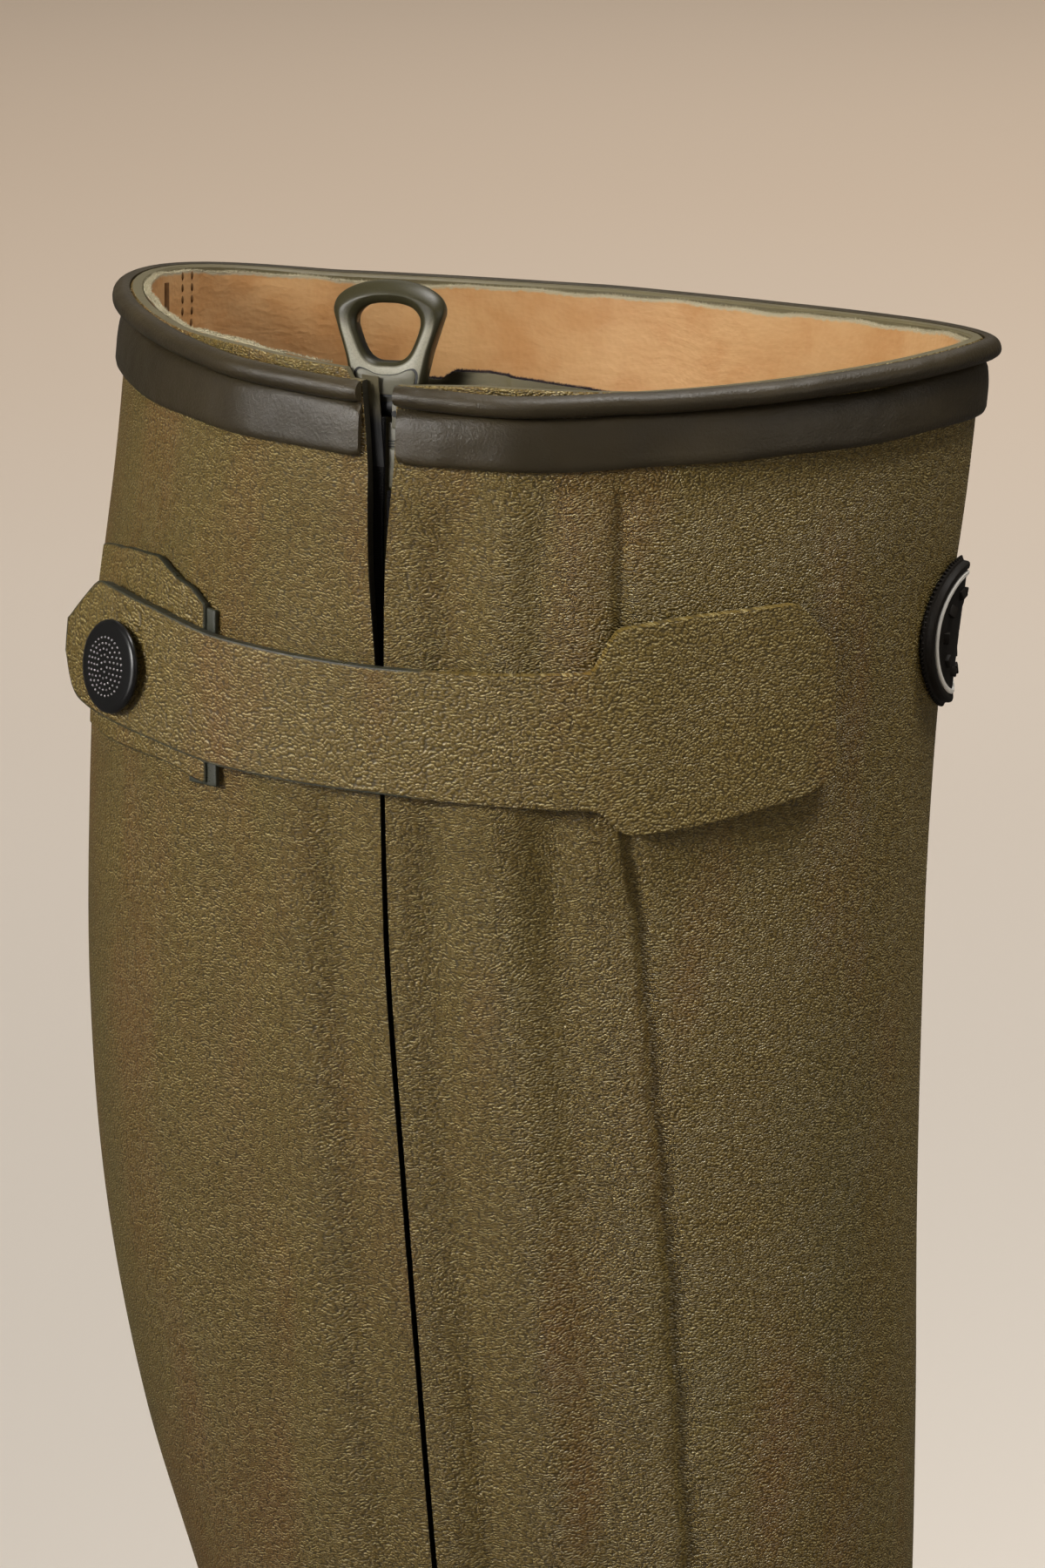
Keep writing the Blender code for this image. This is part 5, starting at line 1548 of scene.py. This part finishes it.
def make_pull(tab, plate_finish, black):
    """The pull tab: a thick ring with round edges, broad at the top, and the knuckle on the pin."""
    count, half = 96, PULL_THICK / 2
    outer, outward = seen_from_heart(mirrored(PULL_OUTLINE), count)
    hole, inward = seen_from_heart(mirrored(PULL_HOLE), count)
    edge_round = rounding(outer, PULL_EDGE_ROUNDS, PULL_EDGE_GROWS)
    hole_round = rounding(hole, PULL_HOLE_ROUNDS, PULL_HOLE_GROWS)
    turns = np.radians(np.linspace(0, 90, 9))
    loops, lit = [], []

    def loop(line, out, depth_round, side, turn):
        points = line + out * depth_round * (1 - math.sin(turn) ** PULL_CRISP)
        depth = side * (half - depth_round[:, 0] * (1 - math.cos(turn) ** PULL_CRISP))
        loops.append(np.column_stack([points[:, 0], depth, points[:, 1]]))
        # the front of the pull's face gets the painted reflection, fading out round its edge and above
        # PULL_LIT, where the face turns away from the light
        front = max(0.0, 1 - turn / turns[3]) if side < 0 else 0.0
        lit.append(front * (1 - ease(between(line[:, 1], PULL_LIT))))

    for side, order in ((-1, turns), (1, turns[::-1])):
        for turn in order:
            loop(outer, -outward, edge_round, side, turn)
    for side, order in ((1, turns), (-1, turns[::-1])):
        for turn in order:
            loop(hole, inward, hole_round, side, turn)
    place = slider_frame() @ Matrix.Rotation(math.radians(PULL_LEAN), 4, "X")
    form = Shape()
    form.add(np.concatenate(loops + loops[:1]), grid_faces(len(loops) + 1, count, closed=True))
    # shares of the painted reflection; the neck gets none
    shares = np.concatenate(lit + lit[:1])
    form.prism(PULL_NECK, -PULL_NECK_HALF, PULL_NECK_HALF)
    shares = np.concatenate([shares, np.zeros(len(form.points) - len(shares))])
    pull = form.made("zip_pull_skin", place, tab, shares)
    outline = rounded(mirrored(PANEL), 6)
    centre = outline.mean(axis=0)
    plate, groove, knuckle = Shape(), Shape(), Shape()
    plate.prism(outline, -half - PANEL_PROUD, -half + PANEL_DEPTH)
    groove.prism(centre + (outline - centre) * GROOVE_SPREAD, -half - GROOVE_PROUD, -half + PANEL_DEPTH)
    knuckle.bar(KNUCKLE_RADIUS, -KNUCKLE_HALF, KNUCKLE_HALF)
    return (
        pull,
        bevelled(plate.made("zip_pull_panel", place, plate_finish), .14 * MM, 2),
        groove.made("zip_pull_groove", place, black),
        knuckle.made("zip_pull_knuckle", place, black),
    )


def make_sole(material):
    """The outsole with its moulded edges rounded."""
    node = frame["nodes"]["outsole"]
    obj = bpy.data.objects.new("sole_skin", node.data.copy())
    bpy.context.scene.collection.objects.link(obj)
    work = bmesh.new()
    work.from_mesh(obj.data)
    bmesh.ops.remove_doubles(work, verts=work.verts, dist=1e-5)
    bmesh.ops.dissolve_limit(work, angle_limit=math.radians(1), verts=work.verts, edges=work.edges)
    work.to_mesh(obj.data)
    work.free()
    obj.data.materials.clear()
    obj.data.materials.append(material)
    return bevelled(obj, .5 * MM, 2, 32)


def dress_node(name, material):
    """A node whose shape is right keeps it, and gets a finish."""
    node = frame["nodes"][name]
    node.data.materials.clear()
    node.data.materials.append(material)


# Operators

class PieceOperator:
    """What the operators share: the user's sizes and colours."""

    bl_options = {"REGISTER", "UNDO"}

    def execute(self, context):
        self.make(context.scene.boot_sizes, context.scene.boot_colours)
        return {"FINISHED"}


class BOOT_OT_upper(PieceOperator, bpy.types.Operator):
    """Make the grained rubber shell with its creases and the zip's slit"""

    bl_idname = "boot.upper"
    bl_label = "Upper"

    def make(self, sizes, colours):
        grain = (sizes.grain_length / MM, sizes.grain_width / MM)
        outer = grained_rubber("khaki_rubber", colours, grain, sizes.grain_depth)
        inner = gusset_rubber("khaki_inside", colours.gusset)
        # painted shade: the slit's cut faces are made near black, as they lie in shade
        cut = gusset_rubber("khaki_cut", times(colours.gusset, .18))
        declare(make_upper(sizes, outer, inner, cut), ["upper"])


class BOOT_OT_lining(PieceOperator, bpy.types.Operator):
    """Make the leather lining with its frayed edge, welt and stitches"""

    bl_idname = "boot.lining"
    bl_label = "Lining"

    def make(self, sizes, colours):
        leather = lining_leather(colours, sizes.lining_drop / MM)
        felt = felt_fibre("lining_fibre", colours.felt)
        thread = felt_fibre("lining_thread", times(colours.leather_dark, .36))
        inside = -(sizes.wall + sizes.lining) / MM - .1
        declare(make_lining(sizes, leather))
        edge = lining_lines(sizes)
        declare(fuzz("lining_fuzz", edge, sizes.fibre, sizes.fibre_pitch, felt, .8))
        declare(make_welt(sizes, thread))
        stitch = (.5 * MM, .5 * MM, sizes.stitch * .6)
        lines = seam_lines(STITCH_X, inside)
        declare(repeated("lining_stitches", lines, sizes.stitch * .85, stitch, thread))


class BOOT_OT_collar(PieceOperator, bpy.types.Operator):
    """Make the rolled bead and the flat band round the collar"""

    bl_idname = "boot.collar"
    bl_label = "Collar"

    def make(self, sizes, colours):
        trim = trim_rubber(colours)
        declare(make_bead(trim), ["collar_bead"])
        declare(make_band(trim), ["collar_band"])


class BOOT_OT_strap(PieceOperator, bpy.types.Operator):
    """Make the strap and the hemmed patch that its snap closes on"""

    bl_idname = "boot.strap"
    bl_label = "Strap"

    def make(self, sizes, colours):
        grain = (sizes.pebble / MM * 1.35, sizes.pebble / MM)
        rubber = grained_rubber("strap_rubber", colours, grain, sizes.grain_depth * .8, colours.cut_edge)
        edge = sizes.edge_round
        strap = strip("strap_skin", STRAP, STRAP_THICK, rubber, edge, plain_from=STRAP_PLAIN)
        declare(strap, ["strap"])
        patch = strip("stud_patch_skin", STUD_PATCH, STUD_PATCH_THICK, rubber, edge, edge_waves=PATCH_WAVES)
        declare(patch, ["stud_patch"])
        hem = strip("stud_patch_hem", STUD_HEM, STUD_HEM_THICK, rubber, edge * .6, cut=1.0)
        declare(hem)


class BOOT_OT_snap(PieceOperator, bpy.types.Operator):
    """Make the snap's cap with its grid of dots"""

    bl_idname = "boot.snap"
    bl_label = "Snap"

    def make(self, sizes, colours):
        black = moulded_plastic("snap_plastic", colours.black, .26, .25)
        cap, place = make_snap(black)
        declare(cap, ["snap_cap"])
        # painted highlight: the dots are made pale grey to stand in for their sparkle
        dots = moulded_plastic("snap_dot_plastic", times(colours.black, 35), .2, .2, gloss=.6)
        declare(make_snap_dots(place, dots))


class BOOT_OT_badge(PieceOperator, bpy.types.Operator):
    """Make the plain round badge on the shin, with its pale ring and knurled edge"""

    bl_idname = "boot.badge"
    bl_label = "Badge"

    def make(self, sizes, colours):
        dark = moulded_plastic("badge_rubber", colours.badge, .5, .2, gloss=.1)
        pale = moulded_plastic("badge_pale", colours.ring, .4, .06)
        declare(make_badge(dark), ["shin_badge"])
        declare(make_badge_ring(pale))
        edge = [circle_line(BADGE_RADIUS, BADGE_KNURL_HEIGHT)]
        knurl = [side * MM for side in BADGE_KNURL]
        declare(repeated("badge_knurl", edge, BADGE_KNURL_PITCH * MM, knurl, dark))
        ring = [circle_line(BADGE_RADIUS - BADGE_TICK_INSET, BADGE_FACE)]
        tick = [side * MM for side in BADGE_TICK]
        ticks = repeated("badge_ticks", ring, BADGE_TICK_PITCH * MM, tick, dark, False)
        declare(bevelled(ticks, .18 * MM, 2))


class BOOT_OT_zip(PieceOperator, bpy.types.Operator):
    """Make the zip: gusset, tapes, teeth, slider and pull tab"""

    bl_idname = "boot.zip"
    bl_label = "Zip"

    def make(self, sizes, colours):
        dark_fibre = felt_fibre("gusset_fibre", colours.gusset_fibre)
        plastic = moulded_plastic("zip_plastic", colours.plastic, .4)
        # the pull's pale face colour is a painted reflection
        tab = moulded_plastic("zip_pull_plastic", colours.pull, .34, .4, colours.pull_painted_sheen, .3)
        black = moulded_plastic("zip_black", colours.black, .4)
        tape = woven_tape(colours)
        gusset = make_gusset(sizes, gusset_rubber("gusset_rubber", colours.gusset))
        declare(gusset, ["zip_gusset"])
        lines, length = gusset_lines(sizes), sizes.fibre * .9
        fibres = fuzz("zip_gusset_fuzz", lines, length, sizes.fibre_pitch, dark_fibre, .7)
        declare(fibres)
        for name in ("zip_tape_front", "zip_tape_rear"):
            dress_node(name, tape)
        tooth = [side * MM for side in TOOTH]
        teeth = repeated("zip_teeth", teeth_lines(sizes), sizes.tooth_pitch, tooth, black, False)
        declare(teeth)
        declare(make_facing(facing_rubber(colours)))
        declare(make_seal(plastic))
        declare(make_slider(plastic), ["zip_slider"])
        declare(make_slider_marks(black))
        pull, *details = make_pull(tab, plastic, black)
        declare(pull, ["zip_pull"], "pull")
        for detail in details:
            declare(detail, body="pull")


class BOOT_OT_sole(PieceOperator, bpy.types.Operator):
    """Finish the outsole and the insole"""

    bl_idname = "boot.sole"
    bl_label = "Sole"

    def make(self, sizes, colours):
        declare(make_sole(sole_rubber(colours)), ["outsole"])
        dress_node("insole", footbed_leather(colours))


class BOOT_OT_stage(bpy.types.Operator):
    """Set up the floor, the soft lights and the camera"""

    bl_idname = "boot.stage"
    bl_label = "Stage"

    # Name, place, what it is aimed at, size, spread in degrees, power and colour
    LIGHTS = (
        ("key_light", (-.85, -1.15, 1.0), (.03, 0, .46), .6, 30, "key_power", (1.0, .98, .94)),
        ("top_light", (.5, -.1, 1.75), (.03, 0, .4), .45, 180, "top_power", (1.0, .98, .95)),
        ("fill_light", (1.2, -1.1, .95), (.08, 0, .52), .4, 14, "fill_power", (1.0, .97, .93)),
        ("floor_light", (.2, 3.1, 2.8), (.2, 2.8, 0), 2.6, 100, "floor_power", (1.0, .97, .93)),
        ("sheen_light", (-1.15, -1.3, .3), (0, 0, .36), 1.3, 180, "sheen_power", (1.0, .98, .95)),
        ("rim_light", (1.6, -.5, .5), (.06, 0, .4), .5, 180, "rim_power", (1.0, .97, .92)),
    )
    GLOSS_ONLY = ("sheen_light",)
    FLOOR_RADII = (14000, 5000, 1500, 0)

    def execute(self, context):
        stage = context.scene.boot_stage
        self.make_floor(stage)
        for name, place, aim, size, spread, power, colour in self.LIGHTS:
            light = self.make_light(name, Vector(place), Vector(aim))
            light.size = size
            light.spread = math.radians(spread)
            light.energy = getattr(stage, power)
            light.color = colour
        world = bpy.data.worlds.new("studio")
        world.use_nodes = True
        background = world.node_tree.nodes["Background"]
        background.inputs["Color"].default_value = (1.0, .95, .88, 1)
        background.inputs["Strength"].default_value = stage.ambience
        context.scene.world = world
        context.scene.view_settings.view_transform = "Standard"
        self.make_camera(context, stage)
        return {"FINISHED"}

    def make_floor(self, stage):
        """A wide floor that is paler below the boot than behind it: a painted falloff of light."""
        finish = Finish("floor", specular=.15)
        places = finish.node("ShaderNodeTexCoord", output="Object")
        depth = finish.node("ShaderNodeSeparateXYZ", None, {0: places}, 1)
        cloud = finish.noise(places, 1.1, 2.0)
        far = finish.ramp(depth + cloud * .35, .75, 3.4)
        colour = finish.mix(far, opaque(stage.floor_near), opaque(stage.floor_far))
        material = finish.varies(base_color=colour, roughness=.8 + cloud * .1)
        turns = np.linspace(0, 2 * math.pi, 96, endpoint=False)
        round_line = np.stack([np.cos(turns), np.sin(turns), 0 * turns], axis=-1)
        points = np.concatenate([radius * round_line for radius in self.FLOOR_RADII])
        faces = grid_faces(len(self.FLOOR_RADII), len(turns), closed=True, flip=True)
        floor = surface("floor", points, faces, material)
        floor.visible_glossy = False

    def make_light(self, name, place, aim):
        light = bpy.data.lights.new(name, "AREA")
        light.shape = "SQUARE"
        obj = bpy.data.objects.new(name, light)
        obj.location = place
        obj.rotation_euler = (aim - place).to_track_quat("-Z", "Y").to_euler()
        obj.visible_camera = False
        obj.visible_diffuse = name not in self.GLOSS_ONLY
        bpy.context.scene.collection.objects.link(obj)
        return light

    def make_camera(self, context, stage):
        camera = bpy.data.cameras.new("camera")
        camera.sensor_fit = "HORIZONTAL"
        camera.sensor_width = 36.0
        camera.lens = stage.lens
        obj = bpy.data.objects.new("camera", camera)
        turn, flat = stage.azimuth, math.cos(stage.pitch)
        back = Vector((math.sin(turn) * flat, -math.cos(turn) * flat, math.sin(stage.pitch)))
        away = stage.distance * back
        obj.location = Vector(stage.target) + away
        obj.rotation_euler = (-away).to_track_quat("-Z", "Y").to_euler()
        context.scene.collection.objects.link(obj)
        context.scene.camera = obj


PIECES = (
    BOOT_OT_upper, BOOT_OT_lining, BOOT_OT_collar, BOOT_OT_strap, BOOT_OT_snap, BOOT_OT_badge, BOOT_OT_zip,
    BOOT_OT_sole, BOOT_OT_stage,
)


class BOOT_PT_pieces(bpy.types.Panel):
    """Lists the boot's pieces and what can be changed on them"""

    bl_idname = "BOOT_PT_pieces"
    bl_label = "Rubber boot"
    bl_space_type = "VIEW_3D"
    bl_region_type = "UI"
    bl_category = "Boot"

    def draw(self, context):
        for operator in PIECES:
            self.layout.operator(operator.bl_idname)
        for group in (context.scene.boot_sizes, context.scene.boot_colours, context.scene.boot_stage):
            column = self.layout.column(align=True)
            for name in group.bl_rna.properties.keys():
                if name not in ("rna_type", "name"):
                    column.prop(group, name)


CLASSES = (BootSizes, BootColours, StageSettings, *PIECES, BOOT_PT_pieces)
GROUPS = {"boot_sizes": BootSizes, "boot_colours": BootColours, "boot_stage": StageSettings}


def register():
    for cls in CLASSES:
        bpy.utils.register_class(cls)
    for name, group in GROUPS.items():
        setattr(bpy.types.Scene, name, PointerProperty(type=group))


def unregister():
    for name in GROUPS:
        delattr(bpy.types.Scene, name)
    for cls in reversed(CLASSES):
        bpy.utils.unregister_class(cls)


def main():
    register()
    for operator in PIECES:
        group, name = operator.bl_idname.split(".")
        getattr(getattr(bpy.ops, group), name)()


if __name__ == "__main__":
    main()
